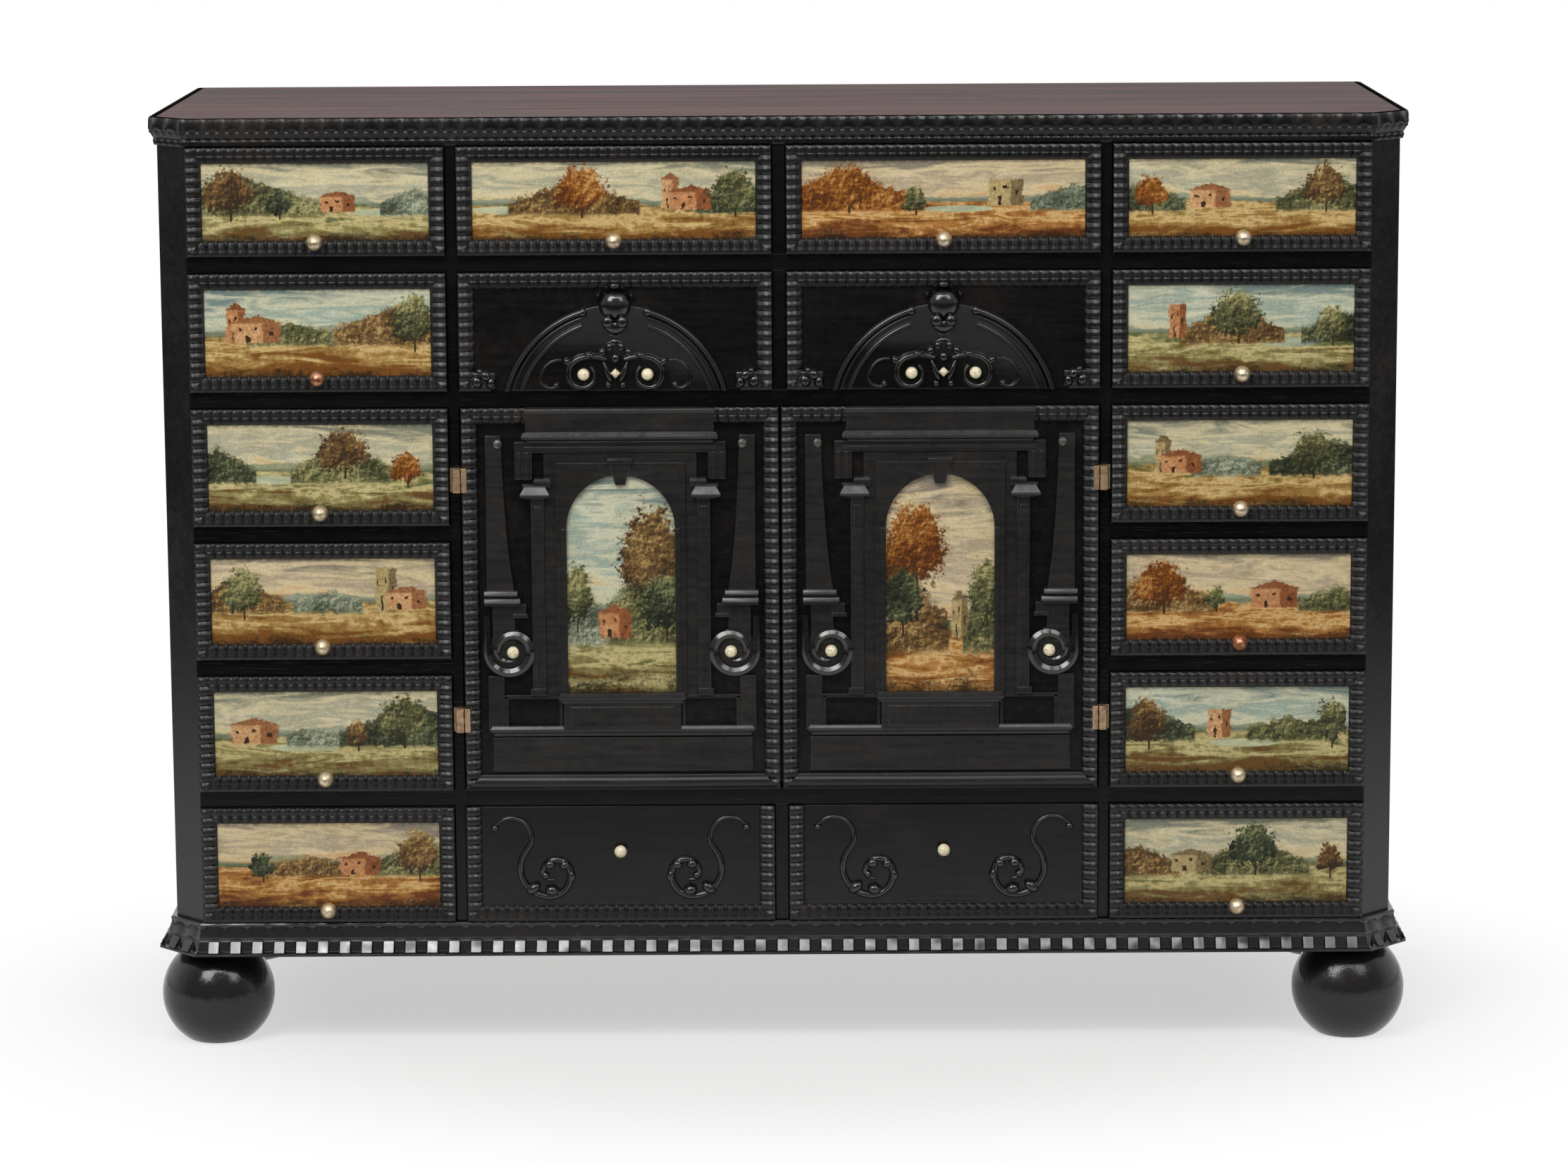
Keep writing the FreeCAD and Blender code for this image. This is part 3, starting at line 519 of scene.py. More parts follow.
# %% [markdown]
# The cabinet stands on white paper that has no edge in the picture. The camera sees the paper
# as plain white a little way off, but near the cabinet it takes shadows. Polished wood would
# mirror white paper all round, which a real room doesn't show, so mirrored rays find it dim in
# front and at the sides.

# %% Floor
FLOOR_SIZE = 40.0
deselect()
bpy.ops.mesh.primitive_plane_add(size=FLOOR_SIZE, location=(0, 0, 0))
floor = bpy.context.object
floor.name = "studio_floor"


def seen_directly(tree, rays, mirrored):
    # All of a colour for the camera, through glass and for what polish mirrors, and none of it
    # where a surface is only lit.
    seen = add(tree, "Math", {0: rays["Is Camera Ray"], 1: mirrored}, operation="MAXIMUM")
    return add(tree, "Math", {0: seen, 1: rays["Is Transmission Ray"]}, operation="MAXIMUM")


floor_material, tree = new_material("white studio paper")
place = add(tree, "TexCoord", out=3)
stretched = add(tree, "Mapping", {"Vector": place, "Scale": (0.72, 1.0, 1.0)})
far = add(tree, "VectorMath", {0: stretched}, out=1, operation="LENGTH")
away = add(tree, "MapRange", {"Value": far, "From Min": 0.25, "From Max": 0.55},
           interpolation_type="SMOOTHSTEP")
share = add(tree, "MapRange", {"Value": away, "To Min": 0.55})
rays = add(tree, "LightPath", out=None)
across, forward, rise = add(tree, "SeparateXYZ", {0: place}, out=None)
# Where the paper ends, in front and at the sides, polished wood mirrors a dim room
past_front = add(tree, "MapRange", {"Value": forward, "From Min": -0.4, "From Max": -1.4,
                                    "To Max": 0.97})
sideways = add(tree, "Math", {0: across}, operation="ABSOLUTE")
past_side = add(tree, "MapRange", {"Value": sideways, "From Min": 1.1, "From Max": 2.4,
                                   "To Max": 0.9})
past_end = add(tree, "Math", {0: past_front, 1: past_side}, operation="MAXIMUM")
dimmed = add(tree, "Math", {0: rays["Is Glossy Ray"], 1: past_end}, operation="MULTIPLY")
tone = add(tree, "Math", {0: 1.0, 1: dimmed}, operation="SUBTRACT")
seen = seen_directly(tree, rays, rays["Is Glossy Ray"])
fade = add(tree, "Math", {0: share, 1: seen}, operation="MULTIPLY")
paper = add(tree, "BsdfPrincipled", {"Base Color": "#dedcda", "Roughness": 0.8,
                                     "Specular IOR Level": 0.1})
white = add(tree, "Emission", {"Color": "#ffffff", "Strength": tone})
mixed = add(tree, "MixShader", {0: fade, 1: paper, 2: white})
add(tree, "OutputMaterial", {"Surface": mixed})
floor.data.materials.append(floor_material)
print("floor laid")

# %% Surroundings
# The room is white for the camera and for what is mirrored from behind, and dim as a lamp.
world = bpy.data.worlds.new("studio")
bpy.context.scene.world = world
world.use_nodes = True
tree = world.node_tree
tree.nodes.clear()
rays = add(tree, "LightPath", out=None)
direction = add(tree, "TexCoord")
forward = add(tree, "SeparateXYZ", {0: direction}, out=1)
behind = add(tree, "MapRange", {"Value": forward, "From Min": -0.5, "From Max": 0.2,
                                "To Min": 0.05})
mirrored = add(tree, "Math", {0: rays["Is Glossy Ray"], 1: behind}, operation="MULTIPLY")
seen = seen_directly(tree, rays, mirrored)
strength = add(tree, "MapRange", {"Value": seen, "To Min": 0.3})
sky = add(tree, "Background", {"Color": "#ffffff", "Strength": strength})
add(tree, "OutputWorld", {"Surface": sky})
print("surroundings set")

# %% [markdown]
# The lights are plain white softboxes. A long one hangs high in front, in two halves, and the
# ripples and the base moulding glitter with it. Two tall window-like ones hang a little lower,
# left and right, and show as bright spots on each ball foot. A soft one lights the back.

# %% Softboxes
OBJECT_MIDDLE = Vector((0, -0.15, 0.35))


def softbox(name, azimuth, elevation, distance, width, height, radiance):
    # A rectangular lamp that faces the cabinet. Azimuth 0 is straight in front.
    turn_round, rise = math.radians(azimuth), math.radians(elevation)
    toward = Vector((math.sin(turn_round) * math.cos(rise),
                     -math.cos(turn_round) * math.cos(rise), math.sin(rise)))
    lamp = bpy.data.lights.new(name, "AREA")
    lamp.shape = "RECTANGLE"
    lamp.size = width
    lamp.size_y = height
    lamp.energy = radiance * math.pi * width * height
    holder = bpy.data.objects.new(name, lamp)
    bpy.context.scene.collection.objects.link(holder)
    holder.location = OBJECT_MIDDLE + toward * distance
    holder.rotation_euler = toward.to_track_quat("Z", "Y").to_euler()
    holder.visible_camera = False


softbox("long softbox above, left half", -12, 54, 2.64, 0.66, 0.36, 11.0)
softbox("long softbox above, right half", 12, 54, 2.64, 0.66, 0.36, 7.5)
softbox("window softbox left", -34, 44, 2.8, 1.0, 1.5, 9.0)
softbox("window softbox right", 40, 44, 2.8, 0.9, 1.4, 4.2)
softbox("soft light behind", 180, 60, 2.6, 2.4, 0.6, 3.0)
print("studio ready")

# %% [markdown]
# Ripple moulding is planed with a scraper that rises and falls over a toothed guide, so one
# wave repeats all along the stick. Here one wave is modelled from a small grid: its columns
# follow the wave and its rows follow the moulding's outline, round to the underside. An Array
# modifier repeats it, and its ends are sawn off at the mitres by bisecting.

# %% One wave and its stick
# Each line of an outline: place across, height above the ground, and depth of the wave.
drawer_outline = [(0.0, 0.0, 0.0), (0.0, 4.6, 0.0), (0.4, 5.5, 0.7), (2.4, 6.8, 1.9),
                  (3.4, 6.8, 2.0), (5.6, 5.6, 1.5), (6.2, 5.6, 1.4), (7.0, 6.3, 1.9),
                  (9.4, 6.0, 2.3), (10.9, 5.5, 2.2), (11.9, 4.2, 1.6), (12.4, 3.2, 0.8),
                  (12.5, 0.0, 0.0)]
# Columns of a wave: place along it, and how much of the depth is taken off there.
wave_columns = [(0.0, 1.0), (0.09, 0.8), (0.24, 0.2), (0.5, 0.0), (0.76, 0.2), (0.91, 0.8),
                (1.0, 1.0)]
# How the cut at an end leans, towards Y and towards Z
MITRE = (0, 1)
SQUARE = (0, 0)
# Waves closer than this are merged, and a cut lies this far inside the last wave's end
MERGE = 0.001
TRIM = 0.004


def one_wave(pitch, outline, columns):
    # A column can take off more than one depth, where a line of the outline has more.
    last, rows = len(columns) - 1, len(outline)
    bpy.ops.mesh.primitive_grid_add(x_subdivisions=last, y_subdivisions=rows, size=1,
                                    location=(0, 0, 0))
    piece = bpy.context.object
    for vertex in piece.data.vertices:
        along, *taken = columns[round((vertex.co.x + 0.5) * last)]
        across, height, *depths = outline[round((vertex.co.y + 0.5) * rows) % rows]
        sunk = sum(share * depth for share, depth in zip(taken, depths))
        vertex.co = (along * pitch, -(height - sunk), across)
    return piece


def ripple_stick(length, pitch, outline, columns=wave_columns, ends=(MITRE, MITRE), spare=0):
    # A stick along X with its middle at 0. Each end has a lean towards Y and towards Z. A stick
    # whose cuts lean towards Y needs spare waves at both ends.
    count = max(1, round(length / pitch))
    fitted = length / count
    piece = one_wave(fitted, outline, columns)
    modify(piece, "ARRAY", count=count + 2 * spare, use_relative_offset=False,
           use_constant_offset=True, constant_offset_displace=(fitted, 0, 0),
           use_merge_vertices=True, merge_threshold=MERGE)
    piece.data.transform(Matrix.Translation((-length / 2 - spare * fitted, 0, 0)))
    tidy(piece)
    half = length / 2 if spare else length / 2 - TRIM
    for side, (lean_y, lean_z) in zip((-1, 1), ends):
        saw(piece, (side * half, 0, 0), (side, lean_y, lean_z))
    tidy(piece)
    return piece


def stand(piece, axis, degrees, place):
    pick(piece)
    piece.rotation_euler = Matrix.Rotation(math.radians(degrees), 4, axis).to_euler()
    piece.location = place
    bpy.ops.object.transform_apply(location=True, rotation=True, scale=True)
    return piece


def rippled_frame(width, height, pitch, sides="btlr", square_top=False):
    # Sticks round a rectangle whose middle is at 0, with their outer edges on the rectangle.
    top_end = SQUARE if square_top else MITRE
    edges = {"b": (width, 0, (0, -height / 2), (MITRE, MITRE)),
             "l": (height, 90, (-width / 2, 0), (top_end, MITRE)),
             "t": (width, 180, (0, height / 2), (MITRE, MITRE)),
             "r": (height, 270, (width / 2, 0), (MITRE, top_end))}
    sticks = []
    for side in sides:
        length, turn_by, (x, z), ends = edges[side]
        stick = ripple_stick(length, pitch, drawer_outline, ends=ends)
        sticks.append(stand(stick, "Y", turn_by, (x, 0, z)))
    return sticks


# %% [markdown]
# Each drawer front is a mitred frame of ripple moulding round a panel, with a turned knob. A
# frame is made once for each size of drawer, with its middle at zero, and is copied to every
# place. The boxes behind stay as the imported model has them.

# %% Frames of the painted drawers
SIDES = ("right", "left")
FRAME_WIDTH = 12.5
PANEL_INSET = FRAME_WIDTH - 0.5
PANEL_THICKNESS = 2.0
DRAWER_PITCH = 7.8
front_y = node_box("drawer_right_side_1_front")[1].y


def front_middle(node):
    # The middle of a front, with its width and height.
    low, high = node_box(node)
    middle = Vector(((low.x + high.x) / 2, front_y, (low.z + high.z) / 2))
    return middle, high.x - low.x, high.z - low.z


painted_drawers = ["side_%d" % row for row in range(1, 7)] + ["top"]
frames = {}
for side in SIDES:
    for name in painted_drawers:
        body = "drawer_%s_%s" % (side, name)
        middle, width, height = front_middle(body + "_front")
        size = (round(width, 1), round(height, 1))
        if size not in frames:
            frames[size] = join("frame_pattern", rippled_frame(width, height, DRAWER_PITCH))
            print("frame", size, "has", len(frames[size].data.polygons), "faces")
        settle(copy_of(frames[size], "frame", middle), body + "_ripple_frame", body, black_ripple,
               [body + "_front"])
discard(*frames.values())

# %% [markdown]
# The knobs are small brass turnings: a rosette, a slender neck and a ball. Two are red brass,
# and the two on the lowest middle drawers are bone. A brass one sits at the inner edge of the
# frame's lower stick.

# %% Knobs
knob_rings = [(1.2, 0.0), (3.6, 0.0), (3.7, 0.8), (2.9, 1.5), (1.9, 2.3), (1.7, 4.6), (2.3, 5.6),
              (3.4, 6.0), (2.8, 6.6), (4.2, 7.4), (5.7, 8.9), (6.5, 11.0), (6.5, 12.8),
              (5.8, 14.9), (4.6, 16.5), (2.8, 18.1), (1.8, 18.7), (0.9, 19.0)]
bone_rings = [(1.2, 0.0), (3.2, 0.0), (3.3, 0.7), (2.5, 1.5), (1.8, 2.4), (1.8, 3.8), (2.6, 4.6),
              (4.0, 5.6), (4.8, 7.2), (4.9, 8.8), (4.2, 10.6), (2.9, 12.0), (1.4, 12.8),
              (0.5, 13.0)]
KNOB_SIDES = 24
KNOB_RISE = FRAME_WIDTH - 0.6
BONE_KNOB_RISE = 58.0
brass_knob = turned(knob_rings, KNOB_SIDES, (0, 0, 0), OUT)
bone_knob = turned(bone_rings, KNOB_SIDES, (0, 0, 0), OUT)
red_knobs = ("drawer_left_side_2", "drawer_right_side_4")


def fit_knob(pattern, body, rise, material):
    # On the panel, at a height above the drawer's lower edge.
    middle, width, height = front_middle(body + "_front")
    place = middle + UP * (rise - height / 2) + OUT * PANEL_THICKNESS
    settle(copy_of(pattern, "knob", place), body + "_knob", body, material)


for side in SIDES:
    for name in painted_drawers:
        body = "drawer_%s_%s" % (side, name)
        fit_knob(brass_knob, body, KNOB_RISE, red_brass if body in red_knobs else brass)
    fit_knob(bone_knob, "drawer_%s_low" % side, BONE_KNOB_RISE, bone)
discard(brass_knob, bone_knob)
print("knobs fitted:", 2 * len(painted_drawers), "of brass and 2 of bone")

# %% [markdown]
# The middle drawers carry carving on a plain black ground. Ribs, arms and volutes are swept: an
# outline is drawn once, and the spin operator swings it through one bend after another, each
# round its own centre, so that the bends run into each other as a carver's gouge would go.

# %% Sweeping an outline through bends
def sweep(outline, start, heading, bends, sizes, ground, step=9.0):
    # Outline points are (across, out). Bends are (radius, degrees), or (None, length) for a
    # straight run in two strides. Sizes give the outline's scale at the start and after each
    # bend. The ground is how far out it starts, and a bend turns by a step in degrees at a time.
    across, up = start
    angle = math.radians(heading)
    bpy.ops.mesh.primitive_circle_add(vertices=len(outline), radius=1, fill_type="NOTHING",
                                      location=(0, 0, 0))
    piece = bpy.context.object
    side = Vector((-math.sin(angle), 0, math.cos(angle)))
    middle = Vector((across, -ground, up))
    for vertex, (over, out) in zip(piece.data.vertices, outline):
        vertex.co = middle + (side * over + OUT * out) * sizes[0]
    edit(piece)
    scale = sizes[0]
    for (radius, amount), goal in zip(bends, sizes[1:]):
        turn_total = math.radians(amount) if radius else 0.0
        count = max(1, math.ceil(abs(amount) / step)) if radius else 2
        sign = math.copysign(1, turn_total)
        for index in range(count):
            if radius:
                centre_across = across - sign * radius * math.sin(angle)
                centre_up = up + sign * radius * math.cos(angle)
                small = turn_total / count
                bpy.ops.mesh.spin(steps=1, angle=small, axis=(0, 1, 0),
                                  center=(centre_across, 0, centre_up))
                angle += small
                across = centre_across + sign * radius * math.sin(angle)
                up = centre_up - sign * radius * math.cos(angle)
            else:
                stride = amount / count
                shift = (math.cos(angle) * stride, 0, math.sin(angle) * stride)
                bpy.ops.mesh.extrude_edges_move(TRANSFORM_OT_translate={"value": shift})
                across, up = across + shift[0], up + shift[2]
            wanted = scale + (goal - scale) / (count - index)
            grow = wanted / scale
            bpy.ops.transform.resize(value=(grow, grow, grow),
                                     center_override=(across, -ground, up))
            scale = wanted
    bpy.ops.mesh.select_all(action="SELECT")
    bpy.ops.mesh.fill_holes(sides=0)
    bpy.ops.mesh.normals_make_consistent(inside=False)
    leave_edit()
    return piece


# A rounded back is a little narrower than its fillets, and a leaf narrows towards its tip
ROUND_SHARE = 0.94
TIP_SHARES = (0.62, 0.8, 1)
TIP_FROM_SHARE = 0.2


def half_round(width, height, fillet, points=7):
    # An outline with a rounded back, standing on a thin fillet on each side.
    half = width / 2
    line = [(half, 0.0), (half, fillet)]
    for index in range(1, points):
        turn_by = math.pi * index / points
        rise = (height - fillet) * math.sin(turn_by)
        line.append((half * ROUND_SHARE * math.cos(turn_by), fillet + rise))
    return line + [(-half, fillet), (-half, 0.0)]


def lobe(place, size, turn_by=0.0):
    # A carved leaf or bud: a small ball drawn out, turned in the plane of the front.
    bpy.ops.mesh.primitive_uv_sphere_add(segments=12, ring_count=8, radius=0.5)
    piece = bpy.context.object
    piece.data.transform(Matrix.Diagonal((*size, 1)))
    edit(piece, lambda co: co.z > size[2] * TIP_FROM_SHARE)
    bpy.ops.transform.resize(value=TIP_SHARES, center_override=(0, 0, 0))
    leave_edit()
    return stand(piece, "Y", -turn_by, place)


def both_sides(pieces):
    # The pieces and their mirror images across the middle.
    twins = [copy_of(piece, piece.name + "_twin", mirrored=True) for piece in pieces]
    for twin in twins:
        tidy(twin)
    return pieces + twins


# %% [markdown]
# Over each door a drawer shows a broken pediment. Three ribs rise from the drawer's lower edge
# and stop short of the middle, where a bud closes the outer one. From a cartouche in the middle
# two arms curl down and wind round bone beads. All of it stands on a raised field. Only the
# right half is modelled, and the left half mirrors it.

# %% Pediment carving, left and right of the middle
# Lengths are in millimetres from the middle of the drawer's lower edge.
RIB_RADIUS, RIB_DROP, BREAK_HALF = 88.0, 22.0, 26.0
GROUND = PANEL_THICKNESS
FIELD = 3.5


def arch_length(radius, width, height, fillet):
    # A rib from the drawer's lower edge up to the break, sawn off level at its foot.
    low = math.asin(RIB_DROP / radius)
    high = math.acos(BREAK_HALF / radius)
    start = (radius * math.cos(low), radius * math.sin(low) - RIB_DROP)
    rib = sweep(half_round(width, height, fillet), start, math.degrees(low) + 90,
                [(radius, math.degrees(high - low))], [1, 1], ground=FIELD, step=3)
    return saw(rib, (0, 0, 0), -UP)


# Each rib: how far it lies inside the outer one, then its width, height and fillet
rib_steps = [(0.0, 4.6, 4.6, 1.4), (4.4, 2.4, 2.2, 0.8), (10.5, 3.6, 2.8, 1.0)]
ribs = [arch_length(RIB_RADIUS - inside, *outline) for inside, *outline in rib_steps]
BUD = 6.4
bud_rise = math.sqrt(RIB_RADIUS ** 2 - BREAK_HALF ** 2) - RIB_DROP
rib_bud = lobe((BREAK_HALF - 1, -FIELD - 1.5, bud_rise), (BUD, BUD, BUD * 1.15), 20)

# The arms that leave the cartouche, curl down and wind round the bone beads
arm = sweep(half_round(5.2, 5.2, 1.0), (7.0, 25.0), 22,
            [(32, -38), (12.5, -98), (10.5, -110), (8.5, -100)], [0.75, 1.0, 1.05, 0.85, 0.4],
            ground=FIELD)
outer_arm = sweep(half_round(2.8, 2.8, 0.6), (42.0, 24.0), 10, [(14, -100), (8, -120)],
                  [0.3, 1.0, 0.5], ground=FIELD)
arm_leaves = [lobe((46.5, -FIELD - 0.6, 4.6), (5.0, 4.0, 4.4)),
              lobe((37.6, -FIELD - 2.6, 23.4), (7.6, 7.0, 5.8), 40),
              lobe((20.0, -FIELD - 2.8, 28.6), (9.0, 7.0, 4.6), 8)]

# Leaves of the cartouche, and the pair of carved bits in the lower corners
leaves = [lobe((4.6, -FIELD - 1.4, 34.6), (5.4, 5.4, 7.4), -14),
          lobe((10.4, -FIELD - 1.4, 30.4), (7.6, 5.4, 6.2), -50),
          lobe((6.6, -FIELD - 1.8, 15.5), (4.6, 6.0, 18.0), -20),
          lobe((5.6, -FIELD - 1.2, 4.6), (5.2, 4.4, 5.2), 30)]
corner_leaves = [lobe((101.5, -6.6, 12.6), (9.0, 6.4, 7.6), 30),
                 lobe((108.5, -7.0, 8.0), (8.0, 6.4, 9.5), -20),
                 lobe((97.5, -6.2, 7.0), (6.4, 5.6, 8.4), 10),
                 lobe((106.0, -7.6, 15.6), (5.4, 5.4, 6.6), -35)]
corner_block = block((94.0, -4.6, 2.0), (113.5, 0.5, 14.5), 1.0)
middle_leaf = lobe((0, -FIELD - 1.8, 26.0), (7.4, 6.4, 8.0))
wings = both_sides(ribs + [rib_bud, arm, outer_arm] + arm_leaves + [corner_block] + leaves
                   + corner_leaves)
print("pediment wings:", len(wings), "pieces")

# %% [markdown]
# An urn stands over the cartouche, under a hood of petals. It is turned whole, pressed flatter
# towards the wall, and sawn off where the ground begins.

# %% Urn over the cartouche
urn_rings = [(1.5, 0.0), (6.6, 0.0), (6.8, 1.2), (5.0, 2.2), (3.2, 3.4), (2.9, 5.4), (4.4, 6.4),
             (4.6, 7.2), (3.7, 7.9), (6.2, 9.4), (8.8, 12.0), (9.6, 14.8), (8.8, 17.4),
             (6.2, 18.9), (5.0, 19.6), (6.6, 20.6), (9.6, 22.8), (11.6, 25.8), (12.7, 29.4),
             (12.8, 32.8), (11.9, 36.4), (9.6, 39.6), (6.2, 41.9), (4.0, 42.8), (3.6, 43.8),
             (2.4, 45.2), (0.9, 45.6)]
URN_BASE = 36.0
URN_FLATNESS = 0.76
urn = turned(urn_rings, 32, (0, -GROUND, URN_BASE))
urn.data.transform(Matrix.Diagonal((1, URN_FLATNESS, 1, 1)))
saw(urn, (0, URN_FLATNESS * -GROUND, 0), -OUT)
HOOD_RADIUS, HOOD_RISE = 15.0, 68.0
petals = []
for low_angle, span in ((12, 34), (52, 28)):
    turn_by = math.radians(low_angle)
    start = (HOOD_RADIUS * math.cos(turn_by), HOOD_RISE + HOOD_RADIUS * math.sin(turn_by))
    petals.append(sweep(half_round(4.4, 7.0, 2.0), start, low_angle + 90,
                        [(HOOD_RADIUS, span / 2), (HOOD_RADIUS, span / 2)], [0.35, 1.0, 0.35],
                        ground=GROUND))
crest = lobe((0, -GROUND - 5.0, HOOD_RISE + HOOD_RADIUS), (9.0, 6.0, 5.0))
cup = lobe((5.6, -GROUND - 6.4, 55.0), (9.6, 8.0, 10.6), 10)
collar = [crest] + both_sides(petals + [cup])
print("urn and hood:", 1 + len(collar), "pieces")

# %% Field under the arch
FIELD_MARGIN = 1.5


def arch_field():
    # A thin slice of a disc, sawn off level below.
    bpy.ops.mesh.primitive_circle_add(vertices=96, radius=RIB_RADIUS + FIELD_MARGIN,
                                      fill_type="NGON", location=(0, 0, 0))
    piece = stand(bpy.context.object, "X", 90, (0, 0, -RIB_DROP))
    saw(piece, (0, 0, 0), -UP)
    edit(piece)
    bpy.ops.mesh.extrude_region_move(TRANSFORM_OT_translate={"value": (0, -FIELD, 0)})
    leave_edit()
    tidy(piece)
    bevel(piece, 0.6)
    return piece


carving = join("pediment_carving", wings + collar + [middle_leaf, urn, arch_field()])
print("pediment carving has", len(carving.data.polygons), "faces")

# %% Frames of the pediment drawers
# The lower moulding runs in from the corners only, and the arch stands between its ends.
RETURN = 25.0
GROUND_EASE = 0.3
GROUND_GAP = 0.4


def dress_middle_drawers(kind, frame_pattern, ground, carving, beads=None):
    # Both drawers of a kind, from patterns with their middle at zero or their lower edge at zero.
    for side in SIDES:
        body = "drawer_%s_%s" % (side, kind)
        middle, width, height = front_middle(body + "_front")
        base = middle - UP * height / 2
        settle(copy_of(frame_pattern, "frame", middle), body + "_ripple_frame", body,
               black_ripple, [body + "_front"])
        settle(copy_of(ground, "ground", middle), body + "_ground", body, black_along,
               smooth=20)
        settle(copy_of(carving, "carving", base), body + "_carving", body, black_turned,
               smooth=50)
        if beads is not None:
            settle(copy_of(beads, "beads", base), body + "_beads", body, bone)
    print("dressed both drawers of the kind", kind)


middle, width, height = front_middle("drawer_right_pediment_front")
sticks = rippled_frame(width, height, DRAWER_PITCH, "ltr")
low_stick = rippled_frame(width, height, DRAWER_PITCH, "b")[0]
low_twin = copy_of(low_stick, "low_twin")
sticks += [saw(low_stick, (RETURN - width / 2, 0, 0), RIGHT),
           saw(low_twin, (width / 2 - RETURN, 0, 0), -RIGHT)]
pediment_frame = join("pediment_frame", sticks)
half_field = width / 2 - PANEL_INSET
ground = block((-half_field, -GROUND, GROUND_GAP - height / 2),
               (half_field, 0, height / 2 - PANEL_INSET), GROUND_EASE)

# Bone beads at the ends of the arms, and a lozenge between them
bead_rings = [(1.0, 0.0), (4.0, 0.0), (4.6, 1.0), (4.7, 2.4), (4.0, 4.0), (2.7, 5.0), (1.2, 5.5),
              (0.4, 5.6)]
bead = turned(bead_rings, 20, (25.0, -FIELD, 13.0), OUT)
lozenge = turned([(1.2, 0.0), (3.7, 0.0), (3.9, 1.4), (2.0, 3.2), (0.5, 3.6)], 4,
                 (0, -FIELD - 2.0, 14.0), OUT)
pediment_beads = join("beads", both_sides([bead]) + [lozenge])
dress_middle_drawers("pediment", pediment_frame, ground, carving, pediment_beads)
discard(pediment_frame, ground, carving, pediment_beads)

# %% [markdown]
# The drawer under each door is open to the door above, so its frame has three sides. An S-scroll
# with buds and leaves stands at each end, and a finger slot is cut low in the ground.

# %% Low drawers
middle, width, height = front_middle("drawer_right_low_front")
half_field = width / 2 - PANEL_INSET
low_frame = join("low_frame", rippled_frame(width, height, DRAWER_PITCH, "blr", square_top=True))
low_ground = block((-half_field, -GROUND, PANEL_INSET - height / 2),
                   (half_field, 0, height / 2), GROUND_EASE)
SLOT_HALF, SLOT_LOW, SLOT_HIGH, SLOT_FLOOR = 30.0, 14.0, 19.0, 0.5
combine(low_ground, block((-SLOT_HALF, -2 * GROUND, SLOT_LOW - height / 2),
                          (SLOT_HALF, -SLOT_FLOOR, SLOT_HIGH - height / 2), 0))
s_scroll = sweep(half_round(5.2, 3.6, 0.6), (102.0, 73.5), 110,
                 [(16, 200), (23, -130), (17, -110), (11, -150), (6.5, -120)],
                 [0.4, 0.95, 1.15, 1.15, 0.9, 0.45], ground=GROUND)
s_buds = [lobe((70.0, -GROUND - 3.0, 27.0), (13.0, 8.0, 8.4), -35),
          lobe((55.0, -GROUND - 3.0, 25.4), (11.0, 8.0, 8.6), 10),
          lobe((56.5, -GROUND - 2.6, 46.5), (9.0, 7.0, 7.6), 0),
          lobe((45.0, -GROUND - 2.6, 46.0), (8.4, 7.0, 7.2), -20),
          lobe((39.4, -GROUND - 2.4, 37.0), (6.0, 6.0, 10.0), -14),
          lobe((60.0, -GROUND - 1.6, 37.0), (6.0, 5.0, 6.0), 0),
          lobe((100.0, -GROUND - 1.4, 76.0), (6.0, 4.6, 5.0), 0)]
low_carving = join("low_carving", both_sides([s_scroll] + s_buds))
dress_middle_drawers("low", low_frame, low_ground, low_carving)
discard(low_frame, low_ground, low_carving)

# %% [markdown]
# A door is a small portico: plinth, pedestal and sill below, pilasters with imposts at the
# sides, and an entablature on a shelf above. It is worked in the door's own measure, across
# from its middle and up from its lower edge, and the left door is the mirror image.

# %% Door frame
door_low, door_high = node_box("door_right_leaf")
door_middle = (door_low.x + door_high.x) / 2
door_half = (door_high.x - door_low.x) / 2
door_height = door_high.z - door_low.z
TOP_RETURN = 74.0
DOOR_PITCH = 8.0
# The lower edge has a smooth half-round, as a stick of one long wave with no depth
smooth_outline = [(0.0, 0.0), (0.0, 4.4), (0.8, 5.0), (1.5, 4.9), (2.4, 6.3), (4.4, 7.7),
                  (6.6, 8.0), (8.8, 7.3), (10.5, 5.8), (11.3, 4.2), (11.9, 3.8), (12.5, 3.0),
                  (12.5, 0.0)]
smooth_columns = [(0.0,), (0.5,), (1.0,)]

left_stick, top_stick, right_stick = rippled_frame(2 * door_half, door_height, DOOR_PITCH, "ltr")
top_twin = copy_of(top_stick, "top_twin")
bottom = ripple_stick(2 * door_half, 2 * door_half, smooth_outline, smooth_columns)
stand(bottom, "Y", 0, (0, 0, -door_height / 2))
door_frame = join("door_frame", [left_stick, right_stick, bottom,
                                 saw(top_stick, (-TOP_RETURN, 0, 0), RIGHT),
                                 saw(top_twin, (TOP_RETURN, 0, 0), -RIGHT)])
print("door frame has", len(door_frame.data.polygons), "faces")

# %% [markdown]
# The portico is built up as a joiner would glue it: thin boards over one another, with stepped
# mouldings between them. Three plates with a round-headed opening frame the picture. Where a
# board's face should mirror the long softbox, it leans back a little.

# %% Portico: blocks and mouldings
LEAN = math.tan(math.radians(25))
PICTURE_HALF, PICTURE_LOW, PICTURE_HIGH = 42.7, 76.5, 252.5
SPRINGING = PICTURE_HIGH - PICTURE_HALF
OPENING_LOW, PLATE_LOW = 70.0, 77.0
CUT_REACH = 30.0


def door_board(across_low, across_high, low, high, proud, ease):
    return block((across_low, -proud, low), (across_high, 0, high), ease)


